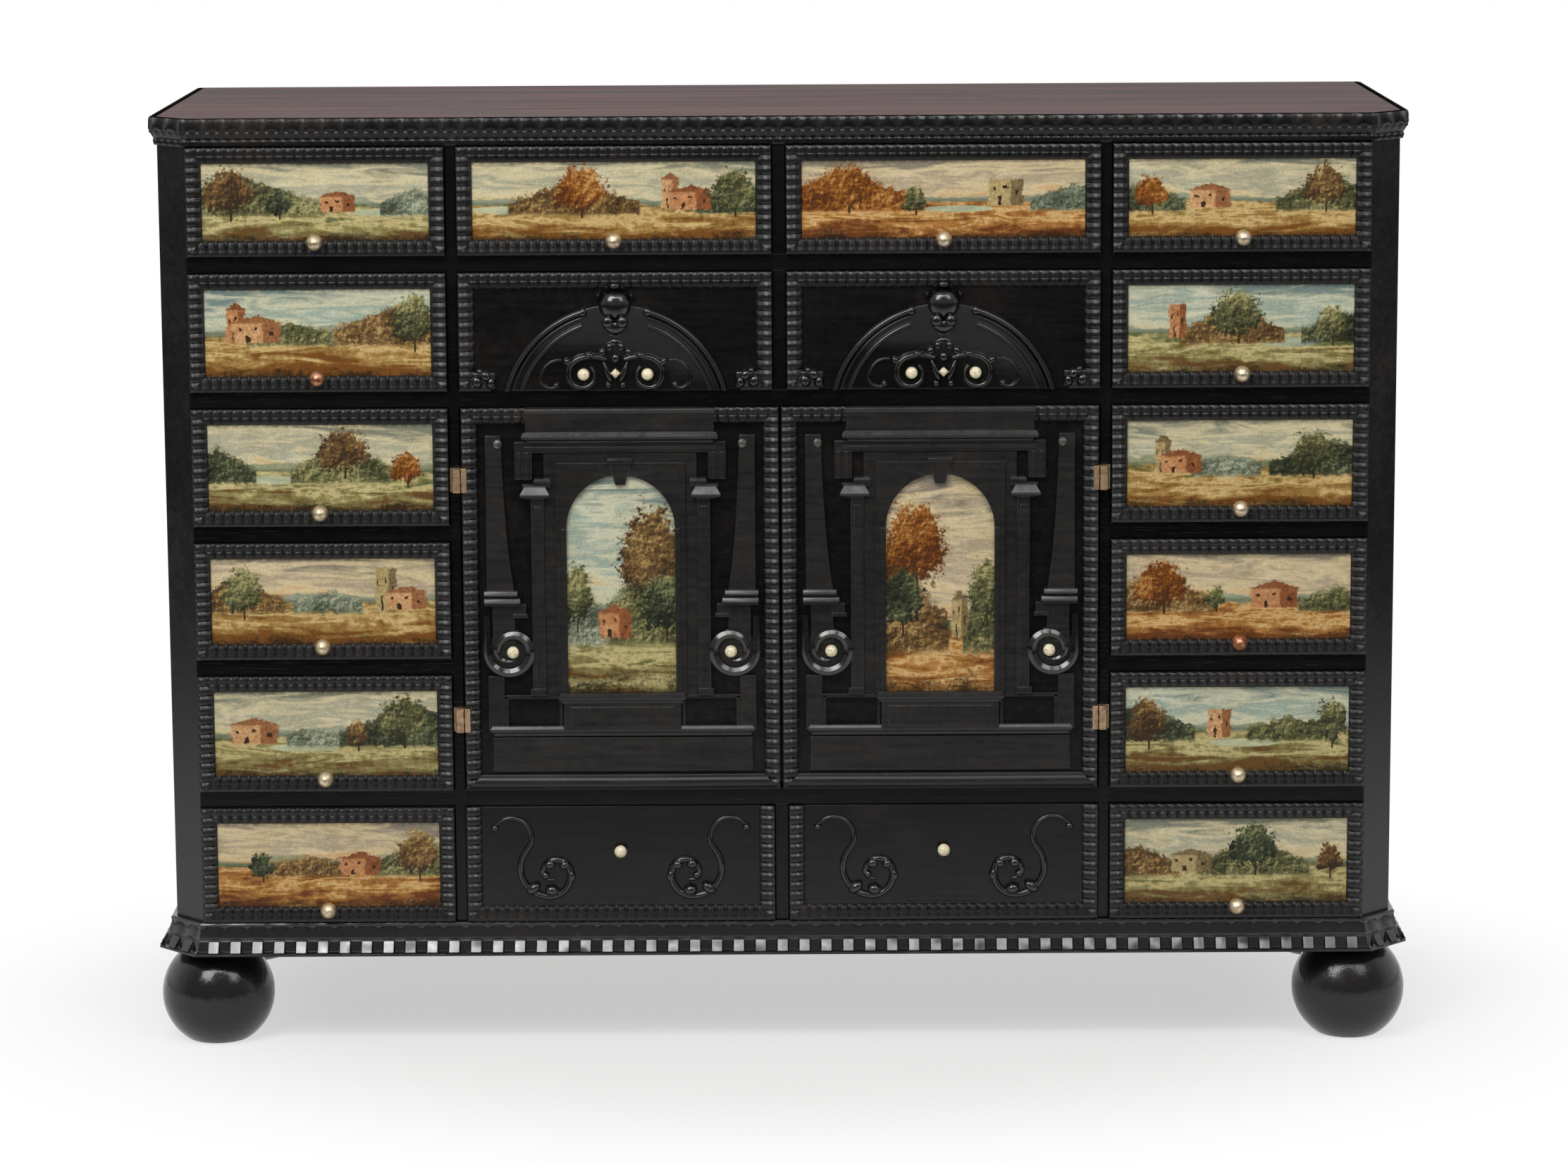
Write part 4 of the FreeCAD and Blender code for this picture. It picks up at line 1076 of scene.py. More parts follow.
def leaning_board(across_low, across_high, low, high, proud, ease):
    # A board whose face leans back, so that it mirrors the long softbox above.
    piece = door_board(across_low, across_high, low, high, proud, 0)
    edit(piece, lambda co: co.z > (low + high) / 2 and co.y < -proud / 2)
    bpy.ops.transform.translate(value=(0, LEAN * (high - low), 0))
    leave_edit()
    bevel(piece, ease)
    return piece


def open_plate(half, high, proud, margin):
    # A board round the picture, with a round-headed opening that leaves a margin.
    piece = door_board(-half, half, PLATE_LOW, high, proud, 0)
    opening = PICTURE_HALF + margin
    combine(piece, round_bar(opening, 2 * CUT_REACH, (0, 0, SPRINGING)))
    return combine(piece, block((-opening, -CUT_REACH, OPENING_LOW),
                                (opening, CUT_REACH, SPRINGING), 0))


inner_plate = open_plate(51.0, 262.0, 4.6, 0.0)
bevel(inner_plate, 0.8)
outer_plate = open_plate(60.1, 270.0, 3.0, 1.5)
bevel(outer_plate, 0.6)
# The rim ends where the arch springs
rim = open_plate(46.6, 258.0, 5.6, 0.6)
combine(rim, block((-50.0, -CUT_REACH, SPRINGING), (50.0, CUT_REACH, 280.0), 0))
bevel(rim, 0.7)

# Boards hold two places across, two up, how far they stand out, and how much they are eased
plinth = [door_board(-103, 103, 14.5, 42.5, 2.6, 1.0),
          stepped_block(0, 98.0, [(43.6, 3.6), (46.0, 4.2), (47.2, 6.0), (49.4, 6.6),
                                  (51.8, 5.1)])]
pedestal = [door_board(-46.5, 46.5, 47.0, 71.0, 6.6, 0.8),
            door_board(-41.0, 41.0, 51.0, 67.5, 7.4, 0.6),
            stepped_block(0, 41.0, [(70.6, 6.8), (72.4, 7.4), (73.2, 8.8), (75.0, 9.2),
                                    (78.4, 8.3)])]
upper = [door_board(-83, 83, 270.4, 279.0, 4.0, 0.6),
         door_board(-75.5, 75.5, 272.6, 275.2, 5.0, 0.5),
         stepped_block(0, 68.0, [(278.6, 4.6), (280.0, 5.6), (280.8, 5.2), (281.6, 8.6),
                                 (283.4, 9.2), (287.0, 7.7)]),
         door_board(-74, 74, 286.0, 305.9, 6.6, 0.8),
         stepped_block(0, 67.0, [(301.8, 7.0), (303.4, 7.6), (304.2, 8.0), (305.6, 7.4)])]
side_boards = [(60.1, 70.5, 76.5, 235.5, 5.0, 0.9), (62.6, 68.0, 84.0, 228.0, 5.7, 0.5),
               (60.1, 72.5, 76.5, 82.0, 6.2, 0.7), (54.5, 77.2, 243.0, 245.6, 5.4, 0.7),
               (69.0, 83.0, 249.0, 270.6, 3.4, 0.5), (71.6, 75.0, 249.0, 270.6, 4.4, 0.5),
               (78.0, 81.4, 249.0, 270.6, 4.4, 0.5), (93.0, 106.0, 47.6, 92.0, 4.0, 0.7),
               (49.0, 92.0, 47.8, 50.4, 5.0, 0.7), (90.0, 93.0, 50.0, 76.0, 3.6, 0.5),
               (47.0, 50.0, 50.0, 71.0, 3.6, 0.5), (50.0, 93.0, 73.6, 76.6, 3.6, 0.5)]
imposts = [stepped_block(67.2, 2.6, [(233.6, 4.4), (235.0, 6.2), (235.6, 8.6), (237.6, 9.2),
                                     (243.0, 5.9), (244.0, 5.4)]),
           stepped_block(61.2, 0.4, [(245.0, 4.4), (246.0, 6.2), (248.0, 6.4), (250.0, 5.6)])]
side_parts = [door_board(*sizes) for sizes in side_boards] + imposts
KEYSTONE_LOW = 244.6
keystone = block((-8.5, -6.4, KEYSTONE_LOW), (8.5, 0, 262.8), 0)
edit(keystone, lambda co: co.z < KEYSTONE_LOW + 1)
bpy.ops.transform.resize(value=(0.48, 0.8, 1), center_override=(0, 0, KEYSTONE_LOW))
leave_edit()
bevel(keystone, 0.7)
keystone_cap = block((-10.0, -7.6, 262.0), (10.0, 0, 265.6), 0.9)
print("portico blocks made")

# %% [markdown]
# A console flanks the picture on each side. Its volute is one ridge, swept down the outer edge
# and wound round a turned disc, and above it a board narrows upwards to the shelf.

# %% Consoles with their volutes
CONSOLE_OUTER = 106.0
# Height, inner edge and how far the board stands out
console_levels = [(160.0, 84.0, 6.5), (170.0, 85.6, 6.1), (182.0, 87.2, 5.6), (196.0, 88.7, 5.1),
                  (212.0, 90.0, 4.6), (230.0, 91.2, 4.1), (250.0, 92.2, 3.6), (270.0, 93.0, 3.2),
                  (284.0, 93.4, 3.0)]
tapered_board = drawn_up(CONSOLE_OUTER, [(height, CONSOLE_OUTER - inner, proud)
                                         for height, inner, proud in console_levels], -0.5)
bevel(tapered_board, 0.8)

VOLUTE_ACROSS, VOLUTE_RISE = 89.3, 112.0
RIDGE = [(3.5, 0.0), (3.5, 2.6), (0.0, 4.7), (-3.5, 2.6), (-3.5, 0.0)]
volute = sweep(RIDGE, (106.3, 140.0), -90, [(None, 28.0), (17.0, -180), (13.2, -175),
               (8.8, -140)], [0.62, 0.85, 1.05, 0.75, 0.35], ground=2.4, step=7)
disc = turned([(2.0, 0.0), (17.6, 0.0), (17.6, 1.6), (16.6, 2.2), (9.0, 2.6), (5.0, 3.0),
               (2.0, 3.0)], 48, (VOLUTE_ACROSS, 0, VOLUTE_RISE), OUT)
console_boards = [(82.6, 107.0, 154.6, 157.6, 6.6, 0.8), (80.4, 108.0, 149.0, 151.4, 7.6, 0.8),
                  (84.0, 102.0, 118.0, 150.0, 3.6, 0.8), (75.0, 86.0, 140.0, 149.8, 4.6, 0.8),
                  (73.6, 86.0, 139.0, 142.0, 5.6, 0.7)]
console_parts = [tapered_board, disc, leaning_board(81.5, 108.2, 157.2, 161.0, 9.6, 0.5),
                 leaning_board(79.4, 108.2, 151.0, 155.0, 9.4, 0.5)]
console_parts += [door_board(*sizes) for sizes in console_boards]
portico = join("portico", plinth + pedestal + [inner_plate, outer_plate, rim, keystone,
               keystone_cap] + upper + both_sides(side_parts + console_parts))
volutes = join("volutes", both_sides([volute]))
print("portico has", len(portico.data.polygons), "faces")

# %% [markdown]
# The picture is a thin panel with a round head, and laps a little way under the plates. Bone
# beads fill the volutes, an iron nail sits in each end of the shelf, and brass hinge plates are
# let into the moulding at the outer edge. The right door alone has a plain round keyhole.

# %% Round-headed picture, beads, nails and hinge plates
PICTURE_LAP, PICTURE_THICKNESS = 0.4, 1.8
lapped_half = PICTURE_HALF + PICTURE_LAP
picture = block((-lapped_half, -PICTURE_THICKNESS, PICTURE_LOW), (lapped_half, 0, SPRINGING), 0)
combine(picture, round_bar(lapped_half, PICTURE_THICKNESS, (0, -PICTURE_THICKNESS / 2, SPRINGING)),
        "UNION")
volute_bead = turned([(1.0, 0.0), (4.1, 0.0), (4.7, 1.2), (4.8, 2.8), (4.1, 4.6), (2.7, 5.8),
                      (1.1, 6.3), (0.4, 6.4)], 24, (86.0, -2.6, VOLUTE_RISE - 0.6), OUT)
nail = turned([(1.0, 0.0), (3.0, 0.0), (3.7, 0.5), (3.2, 1.2), (1.8, 1.7), (0.4, 1.9)], 14,
              (96.0, -3.0, 277.4), OUT)
door_beads = join("beads", both_sides([volute_bead]))
nails = join("nails", both_sides([nail]))

PLATE_WIDTH, PLATE_HEIGHT, PLATE_PROUD, PLATE_BACK = 4.2, 19.0, 7.3, 2.0
hinge_low, hinge_high = node_box("door_right_hinge_leaves")
plates = []
for low in (hinge_low.z - door_low.z, hinge_high.z - door_low.z - PLATE_HEIGHT):
    plates.append(block((door_half - PLATE_WIDTH, -PLATE_PROUD, low),
                        (door_half, -PLATE_BACK, low + PLATE_HEIGHT), 0.4))
hinge_plates = join("plates", plates)

KEYHOLE_RADIUS, KEYHOLE_DEPTH = 4.2, 12.0
keyhole_place = (49.4, front_y - 7.0, 375.0)
print("hinge plates and small fittings made")

# %% Both doors
def foot_of(side):
    # The middle of a door's lower edge.
    return Vector((door_middle if side == "right" else -door_middle, front_y, door_low.z))


for side in SIDES:
    body = "door_" + side
    foot = foot_of(side)
    settle(copy_of(door_frame, "frame", foot + UP * door_height / 2), body + "_ripple_frame",
           body, black_ripple, [body + "_frame"])
    dressed = copy_of(portico, "portico", foot)
    if side == "right":
        combine(dressed, round_bar(KEYHOLE_RADIUS, KEYHOLE_DEPTH, keyhole_place, sides=24))
    settle(dressed, body + "_carved_portico", body, black_carved,
           [body + "_portico"], smooth=20)
    settle(copy_of(volutes, "volutes", foot), body + "_volutes", body, black_turned,
           smooth=40)
    settle(copy_of(hinge_plates, "plates", foot, side == "left"), body + "_hinge_plates", body,
           hinge_brass, smooth=20)
    settle(copy_of(door_beads, "beads", foot), body + "_volute_beads", body, bone)
    settle(copy_of(nails, "nails", foot), body + "_nails", body, iron)
discard(door_frame, portico, volutes, hinge_plates, door_beads, nails)
print("doors dressed")

# %% [markdown]
# The cornice and the base run round the front and the ends, with canted corners. Both are
# ripple mouldings with two rows: on the cornice a long wave above a short one, and on the base
# a row of square bars that stand out like a string of beads and catch the light.

# %% Cornice and base sticks
# Each line here holds the short wave's depth and then the long wave's depth.
cornice_outline = [(0.0, 0.0, 0, 0), (0.0, 1.9, 0, 0), (0.9, 3.0, 0.7, 0), (3.0, 3.7, 1.0, 0),
                   (4.6, 3.3, 0.8, 0), (5.3, 2.2, 0, 0), (6.3, 3.4, 0.3, 0), (8.6, 5.0, 1.1, 0),
                   (10.6, 6.3, 1.2, 0), (11.6, 5.6, 0.2, 0), (12.6, 6.6, 0, 0.5),
                   (14.8, 7.4, 0, 1.5), (18.4, 7.5, 0, 2.0), (20.6, 7.2, 0, 2.0),
                   (21.9, 6.0, 0, 1.6), (22.0, 3.0, 0, 0.2), (22.0, 0.0, 0, 0)]
base_outline = [(0.0, 0.0, 0, 0), (0.0, 13.2, 0, 0), (0.5, 13.9, 0, 0), (1.8, 13.8, 0, 0),
                (2.3, 12.4, 0, 0), (2.7, 13.9, 3.4, 0), (3.2, 13.8, 4.8, 0),
                (11.2, 8.0, 0.8, 0), (11.6, 6.4, 0, 0), (12.4, 6.3, 0, 0),
                (14.0, 6.9, 0, 0.4), (17.4, 6.0, 0, 0.9), (21.0, 5.2, 0, 0.9),
                (23.0, 4.7, 0, 0.3), (24.0, 4.9, 0, 0), (25.3, 4.2, 0, 0), (25.6, 3.2, 0, 0),
                (25.6, 0.0, 0, 0)]
# On the cornice: two short waves on each long one
short_steps = [(0.0, 1.0), (0.09, 0.9), (0.16, 0.25), (0.25, 0.0), (0.34, 0.25), (0.41, 0.9),
               (0.5, 1.0), (0.59, 0.9), (0.66, 0.25), (0.75, 0.0), (0.84, 0.25), (0.91, 0.9),
               (1.0, 1.0)]
# On the base: flat square bars with deep gaps as wide as the bars
bar_steps = [(0.0, 1.0), (0.13, 1.0), (0.21, 0.98), (0.24, 0.8), (0.27, 0.04), (0.5, 0.0),
             (0.73, 0.04), (0.76, 0.8), (0.79, 0.98), (0.87, 1.0), (1.0, 1.0)]
CORNICE_PITCH, BASE_PITCH = 15.3, 17.4
CORNER = 24.0
half_width = 486.0
back_y = node_box("back_panel")[1].y
CANT_LENGTH = CORNER * math.sqrt(2)
CANTED = (math.tan(math.radians(22.5)), 0)


def moulding_round(outline, pitch, low, steps):
    # Five sticks: two ends of the cabinet, two canted corners and the front. The long wave is a
    # cosine along the short one's columns.
    columns = [(along, taken, 0.5 + 0.5 * math.cos(2 * math.pi * along)) for along, taken in steps]
    end_length = back_y - (front_y + CORNER)
    end_y = (back_y + front_y + CORNER) / 2
    cant_x, cant_y = half_width - CORNER / 2, front_y + CORNER / 2
    runs = [(end_length, -90, (-half_width, end_y), (SQUARE, CANTED)),
            (CANT_LENGTH, -45, (-cant_x, cant_y), (CANTED, CANTED)),
            (2 * (half_width - CORNER), 0, (0.0, front_y), (CANTED, CANTED)),
            (CANT_LENGTH, 45, (cant_x, cant_y), (CANTED, CANTED)),
            (end_length, 90, (half_width, end_y), (CANTED, SQUARE))]
    sticks = []
    for length, turn_by, (x, y), ends in runs:
        stick = ripple_stick(length, pitch, outline, columns, ends, spare=2)
        sticks.append(stand(stick, "Z", turn_by, (x, y, low)))
    return sticks


cornice_low = node_box("top_board")[0].z
cornice = join("cornice", moulding_round(cornice_outline, CORNICE_PITCH, cornice_low, short_steps))
settle(cornice, "cornice_ripple_moulding", "carcass", black_cornice,
       ["cornice_moulding"])
base_low = node_box("bottom_board")[0].z
base = join("base", moulding_round(base_outline, BASE_PITCH, base_low, bar_steps))
settle(base, "base_ripple_moulding", "carcass", black_base,
       ["base_moulding"], smooth=14)
print("cornice", len(cornice.data.polygons), "faces, base", len(base.data.polygons), "faces")

# %% [markdown]
# The feet are plain turned balls, flattened where they stand and where they meet the bottom
# board. Years of cleaning have rubbed their polish.

# %% Ball feet
FOOT_RADIUS, FOOT_HEIGHT, FOOT_FLAT = 45.0, 76.0, 24.0
BALL_MIDDLE, BALL_SQUASH = 37.0, 1.02
FOOT_STEPS, FOOT_SIDES = 24, 64
foot_rings = []
for index in range(FOOT_STEPS + 1):
    height = FOOT_HEIGHT * (0.5 - 0.5 * math.cos(math.pi * index / FOOT_STEPS))
    squared = FOOT_RADIUS ** 2 - BALL_SQUASH * (height - BALL_MIDDLE) ** 2
    radius = math.sqrt(max(squared, FOOT_FLAT ** 2))
    foot_rings.append((min(radius, FOOT_RADIUS - 0.05), height))
foot_low, foot_high = node_box("bun_feet")
feet = []
for x in (foot_low.x + FOOT_RADIUS, foot_high.x - FOOT_RADIUS):
    for y in (foot_low.y + FOOT_RADIUS, foot_high.y - FOOT_RADIUS):
        feet.append(turned(foot_rings, FOOT_SIDES, (x, y, 0)))
feet_piece = settle(join("feet", feet), "turned_ball_feet", "carcass", black_feet,
                    ["bun_feet"], smooth=50)
print("feet box", [round(v, 3) for v in feet_piece.dimensions])

# %% [markdown]
# Every panel holds a small landscape in oil, seen through old yellowed varnish. Each is made
# of node masks laid over one another as a painter would work: sky, far hills, water, ground,
# trees and a building, and then the varnish. All of them are new designs of that kind, with
# their own motifs and layouts. Leaves measure two or three millimetres, and the cracks of the
# varnish lie about four apart.

# %% Painter's masks
def patch(tree, *limits):
    # A mask with soft edges. Each limit holds a value, and where it gives all paint and none.
    mask = None
    for value, full, none in limits:
        part = add(tree, "MapRange", {"Value": value, "From Min": none, "From Max": full},
                   interpolation_type="SMOOTHSTEP")
        if mask is not None:
            part = add(tree, "Math", {0: mask, 1: part}, operation="MULTIPLY")
        mask = part
    return mask


def weigh_up(tree, total, *terms):
    # Adds values to a first one, each times its weight.
    for value, weight in terms:
        total = add(tree, "Math", {0: value, 1: weight, 2: total}, operation="MULTIPLY_ADD")
    return total


def share_of_half(tree, value, middle, half):
    # How far a value lies from the middle, where 1 is the edge.
    away = add(tree, "Math", {0: value, 1: middle}, operation="SUBTRACT")
    away = add(tree, "Math", {0: away}, operation="ABSOLUTE")
    return add(tree, "Math", {0: away, 1: half}, operation="DIVIDE")


def box_mask(tree, across, up, spot, half):
    # A rectangle: the farther of both ways decides.
    far = add(tree, "Math", {0: share_of_half(tree, across, spot[0], half[0]),
                             1: share_of_half(tree, up, spot[1], half[1])}, operation="MAXIMUM")
    return patch(tree, (far, 0.92, 1.06))


def roof_mask(tree, across, up, spot, half, height):
    # A gable: a triangle that stands on the spot.
    side = share_of_half(tree, across, spot[0], half)
    rise = add(tree, "Math", {0: up, 1: spot[1]}, operation="SUBTRACT")
    rise = add(tree, "Math", {0: rise, 1: height}, operation="DIVIDE")
    total = add(tree, "Math", {0: side, 1: rise}, operation="ADD")
    return patch(tree, (total, 0.94, 1.06), (rise, 0.0, -0.06))


def ragged_mask(tree, shares, spot, size, ragged, noise, soft_edge):
    # A patch with a leafy edge: the distance from a spot, disturbed by noise.
    offset = add(tree, "VectorMath", {0: shares, 1: (spot[0], 0, spot[1])}, operation="SUBTRACT")
    scaled = add(tree, "VectorMath", {0: offset, 1: (1 / size[0], 0, 1 / size[1])},
                 operation="MULTIPLY")
    distance = add(tree, "VectorMath", {0: scaled}, out=1, operation="LENGTH")
    rough = weigh_up(tree, distance, (noise, ragged))
    edge = 1.0 + ragged * 0.5
    return patch(tree, (rough, edge - soft_edge, edge + soft_edge))


# %% Easel: the places and noises that one picture works with
LIGHT_SHIFT = (0.0011, -0.0014)


def set_up_easel(tree, middle, width, height, seed):
    # Places are shares of the panel's size from its middle. A seed moves the noises, so that no
    # two pictures share a pattern, and a shifted clump tells which side of a leaf is lit.
    place = add(tree, "TexCoord", out=3)
    shares = add(tree, "Mapping", {"Vector": place, "Scale": (1 / width, 1, 1 / height),
                                   "Location": (-middle.x / width, 0, -middle.z / height)})
    across, depth, up = add(tree, "SeparateXYZ", {0: shares}, out=None)
    shifted = add(tree, "Mapping", {"Vector": place, "Location": (seed, 0, seed * 0.37)})
    lighted = add(tree, "Mapping", {"Vector": place,
                                    "Location": (seed + LIGHT_SHIFT[0], 0,
                                                 seed * 0.37 + LIGHT_SHIFT[1])})
    fine = add(tree, "TexNoise", {"Vector": shifted, "Scale": 520, "Detail": 5, "Roughness": 0.7})
    clump, clump_lit = [add(tree, "TexNoise", {"Vector": vector, "Scale": 170, "Detail": 6,
                                               "Roughness": 0.62})
                        for vector in (shifted, lighted)]
    soft = add(tree, "TexNoise", {"Vector": shifted, "Scale": 36, "Detail": 5, "Roughness": 0.55})
    streak = drawn_grain(tree, shifted, (17, 1, 110), Detail=7, Roughness=0.62, Distortion=0.8)
    lit = weigh_up(tree, -0.25, (clump, 1.4), (clump_lit, -1.0), (soft, 0.9))
    edge = weigh_up(tree, 0.0, (fine, 0.4), (clump, 0.6))
    return SimpleNamespace(shares=shares, across=across, up=up, shifted=shifted, fine=fine,
                           clump=clump, soft=soft, streak=streak, lit=lit, edge=edge)


# %% Sky, distance and ground
def paint_sky(tree, easel, plan):
    # Warm over the horizon, greyer above, with torn streaks of cloud.
    climb = add(tree, "MapRange", {"Value": easel.up, "From Min": plan.horizon, "From Max": 0.5})
    cloudy = weigh_up(tree, climb, (easel.across, plan.slant), (easel.streak, 2.1),
                      (easel.soft, 0.5))
    cloudy = add(tree, "Math", {0: cloudy, 1: 0.4}, operation="MULTIPLY")
    warm, pale, cool, grey = plan.sky
    return add(tree, "ValToRGB", {"Fac": cloudy},
               stops=[(0.42, warm), (0.56, pale), (0.68, cool), (0.8, pale), (0.95, grey)])


def paint_distance(tree, easel, picture, plan):
    # Far hills, then a far line of trees, both bluer and paler than what stands near.
    palest, pale, deep = plan.far
    for base, swing, noise, light, dark in ((0.0, 0.3, easel.soft, palest, pale),
                                            (-0.03, 0.2, easel.edge, pale, deep)):
        line = weigh_up(tree, plan.horizon + base - swing * 0.42, (noise, swing))
        under = add(tree, "Math", {0: line, 1: easel.up}, operation="SUBTRACT")
        tone = add(tree, "ValToRGB", {"Fac": easel.clump}, stops=[(0.35, dark), (0.65, light)])
        picture = add(tree, "Mix", {0: patch(tree, (under, 0.016, -0.012)), 6: picture, 7: tone},
                      **COLOUR_MIX)
    return picture


def paint_ground(tree, easel, picture, plan):
    # Fields in long dabs, darker towards the front, and then the water in them.
    line = weigh_up(tree, plan.horizon - 0.13, (easel.soft, 0.16))
    depth = add(tree, "Math", {0: line, 1: easel.up}, operation="SUBTRACT")
    field = weigh_up(tree, depth, (easel.streak, 1.5), (easel.clump, 0.5))
    field = add(tree, "Math", {0: field, 1: 0.6}, operation="MULTIPLY")
    shade, grass, light, earth = plan.ground
    tone = add(tree, "ValToRGB", {"Fac": field},
               stops=[(0.54, shade), (0.61, grass), (0.68, light), (0.74, grass), (0.86, earth)])
    picture = add(tree, "Mix", {0: patch(tree, (depth, 0.02, -0.01)), 6: picture, 7: tone},
                  **COLOUR_MIX)
    for spot, size, tone in plan.water:
        pond = ragged_mask(tree, easel.shares, spot, size, 0.9, easel.streak, 0.12)
        glint = add(tree, "ValToRGB", {"Fac": easel.streak}, stops=[(0.4, tone), (0.6, "#c9cdb4")])
        picture = add(tree, "Mix", {0: pond, 6: picture, 7: glint}, **COLOUR_MIX)
    return picture


# %% Woods, houses and trees
WINDOW_DARK, TRUNK_BROWN = "#3a281c", "#3a2c1c"
# Doors and windows: place and size, as shares of half the wall
openings = [(-0.7, 0.3, 0.08, 0.15), (-0.02, 0.42, 0.08, 0.15), (0.64, -0.05, 0.08, 0.2),
            (-0.36, -0.62, 0.1, 0.34)]
# A crown's clumps: place and size, as shares of the crown
clumps = [(0.0, 0.0, 1.0), (-0.55, -0.35, 0.62), (0.55, -0.2, 0.58), (0.2, 0.45, 0.55)]


def foliage(tree, easel, tones, lean):
    # Dabs of three greens or browns: dark below, light where the sky falls on a clump.
    dab = add(tree, "Math", {0: easel.lit, 1: lean}, operation="ADD")
    dab = weigh_up(tree, dab, (easel.fine, 0.7))
    return add(tree, "ValToRGB", {"Fac": dab},
               stops=[(0.55, tones[0]), (0.8, tones[1]), (1.0, tones[2])])


def paint_woods(tree, easel, picture, plan):
    # Woods that slope down to the horizon on both sides of their middle.
    for middle, reach, rise, tones in plan.woods:
        slope = share_of_half(tree, easel.across, middle, reach)
        slope = add(tree, "Math", {0: 1.0, 1: slope}, operation="SUBTRACT")
        top = weigh_up(tree, plan.horizon - 0.12, (slope, rise), (easel.edge, 0.5))
        under = add(tree, "Math", {0: top, 1: easel.up}, operation="SUBTRACT")
        floor_line = weigh_up(tree, easel.up, (easel.edge, 0.25))
        wood = patch(tree, (under, 0.17, 0.14),
                     (floor_line, plan.horizon - 0.03, plan.horizon - 0.07), (slope, 0.06, 0.0))
        leaves = foliage(tree, easel, tones, 0.0)
        picture = add(tree, "Mix", {0: wood, 6: picture, 7: leaves}, **COLOUR_MIX)
    return picture


def paint_houses(tree, easel, picture, plan):
    # A sunny and a dull wall, a roof, and a door and windows, all with a wavering brush.
    wavering = add(tree, "Math", {0: easel.clump, 1: 0.5}, operation="SUBTRACT")
    across = weigh_up(tree, easel.across, (wavering, 0.05))
    wavering = add(tree, "Math", {0: easel.fine, 1: 0.5}, operation="SUBTRACT")
    up = weigh_up(tree, easel.up, (wavering, 0.1))
    worn = weigh_up(tree, 0.0, (easel.fine, 0.5), (easel.clump, 0.5))
    for kind, spot, size, tones in plan.houses:
        taller = 1.1 if kind == "spire" else 1.4
        spot = (spot[0], spot[1] + size[1] * (taller - 1))
        half = (size[0] * 1.5, size[1] * taller)
        sunny = add(tree, "ValToRGB", {"Fac": worn}, stops=[(0.36, tones[1]), (0.6, tones[2])])
        dull = add(tree, "ValToRGB", {"Fac": worn}, stops=[(0.36, tones[0]), (0.66, tones[1])])
        split = patch(tree, (across, spot[0] + half[0] * 0.3, spot[0] + half[0] * 0.2))
        wall = add(tree, "Mix", {0: split, 6: sunny, 7: dull}, **COLOUR_MIX)
        walled = box_mask(tree, across, up, spot, half)
        picture = add(tree, "Mix", {0: walled, 6: picture, 7: wall}, **COLOUR_MIX)
        if kind != "plain":
            steep = 0.8 if kind == "gable" else 0.5
            roofed = roof_mask(tree, across, up, (spot[0], spot[1] + half[1]), half[0] * 1.12,
                               half[1] * steep)
            picture = add(tree, "Mix", {0: roofed, 6: picture, 7: dull}, **COLOUR_MIX)
        for aside, level, wide, tall in openings:
            opening = box_mask(tree, across, up,
                               (spot[0] + half[0] * aside, spot[1] + half[1] * level),
                               (half[0] * wide, half[1] * tall))
            picture = add(tree, "Mix", {0: opening, 6: picture, 7: WINDOW_DARK}, **COLOUR_MIX)
    return picture


def paint_trees(tree, easel, picture, plan):
    # A thin trunk, and a crown of leafy clumps that grows lighter towards its top.
    for (middle, level), (wide, tall), tones in plan.trees:
        trunk = box_mask(tree, easel.across, easel.up, (middle + wide * 0.1, level - tall * 0.75),
                         (max(wide * 0.05, 0.004), tall * 0.75))
        picture = add(tree, "Mix", {0: trunk, 6: picture, 7: TRUNK_BROWN}, **COLOUR_MIX)
        crown = 0.0
        for aside, rise, share in clumps:
            part = ragged_mask(tree, easel.shares, (middle + aside * wide, level + rise * tall),
                               (wide * share, tall * share), 3.6, easel.edge, 0.14)
            crown = add(tree, "Math", {0: crown, 1: part}, operation="MAXIMUM")
        lean = add(tree, "Math", {0: easel.up, 1: level}, operation="SUBTRACT")
        lean = add(tree, "Math", {0: lean, 1: 0.16 / tall}, operation="MULTIPLY")
        leaves = foliage(tree, easel, tones, lean)
        picture = add(tree, "Mix", {0: crown, 6: picture, 7: leaves}, **COLOUR_MIX)
    return picture


# %% Front edge and varnish
def paint_front(tree, easel, picture, plan):
    # Dark plants along the lower edge.
    frontal = weigh_up(tree, easel.up, (easel.edge, 0.5), (easel.soft, 0.3))
    front = patch(tree, (frontal, -0.12, 0.0))
    front = add(tree, "Math", {0: front, 1: plan.front}, operation="MULTIPLY")
    plants = foliage(tree, easel, ("#1c1710", "#3c3020", "#6b5632"), -0.05)
    return add(tree, "Mix", {0: front, 6: picture, 7: plants}, **COLOUR_MIX)


def varnish(tree, easel, picture, crack):
    # The brush's dabs and the yellowed varnish darken the paint, and fine cracks run over it.
    for amount, noise, low, high in ((0.4, easel.fine, "#8c8c8c", "#ffffff"),
                                     (0.6, easel.soft, "#dccfb0", "#f4ecda")):
        film = add(tree, "ValToRGB", {"Fac": noise}, stops=[(0.3, low), (0.7, high)])
        picture = add(tree, "Mix", {0: amount, 6: picture, 7: film}, blend_type="MULTIPLY",
                      **COLOUR_MIX)
    picture = add(tree, "HueSaturation", {"Saturation": 1.16, "Value": 1.06, "Color": picture})
    faint = add(tree, "Math", {0: crack, 1: 0.16}, operation="MULTIPLY")
    return add(tree, "Mix", {0: faint, 6: picture, 7: "#4a3a28"}, **COLOUR_MIX)


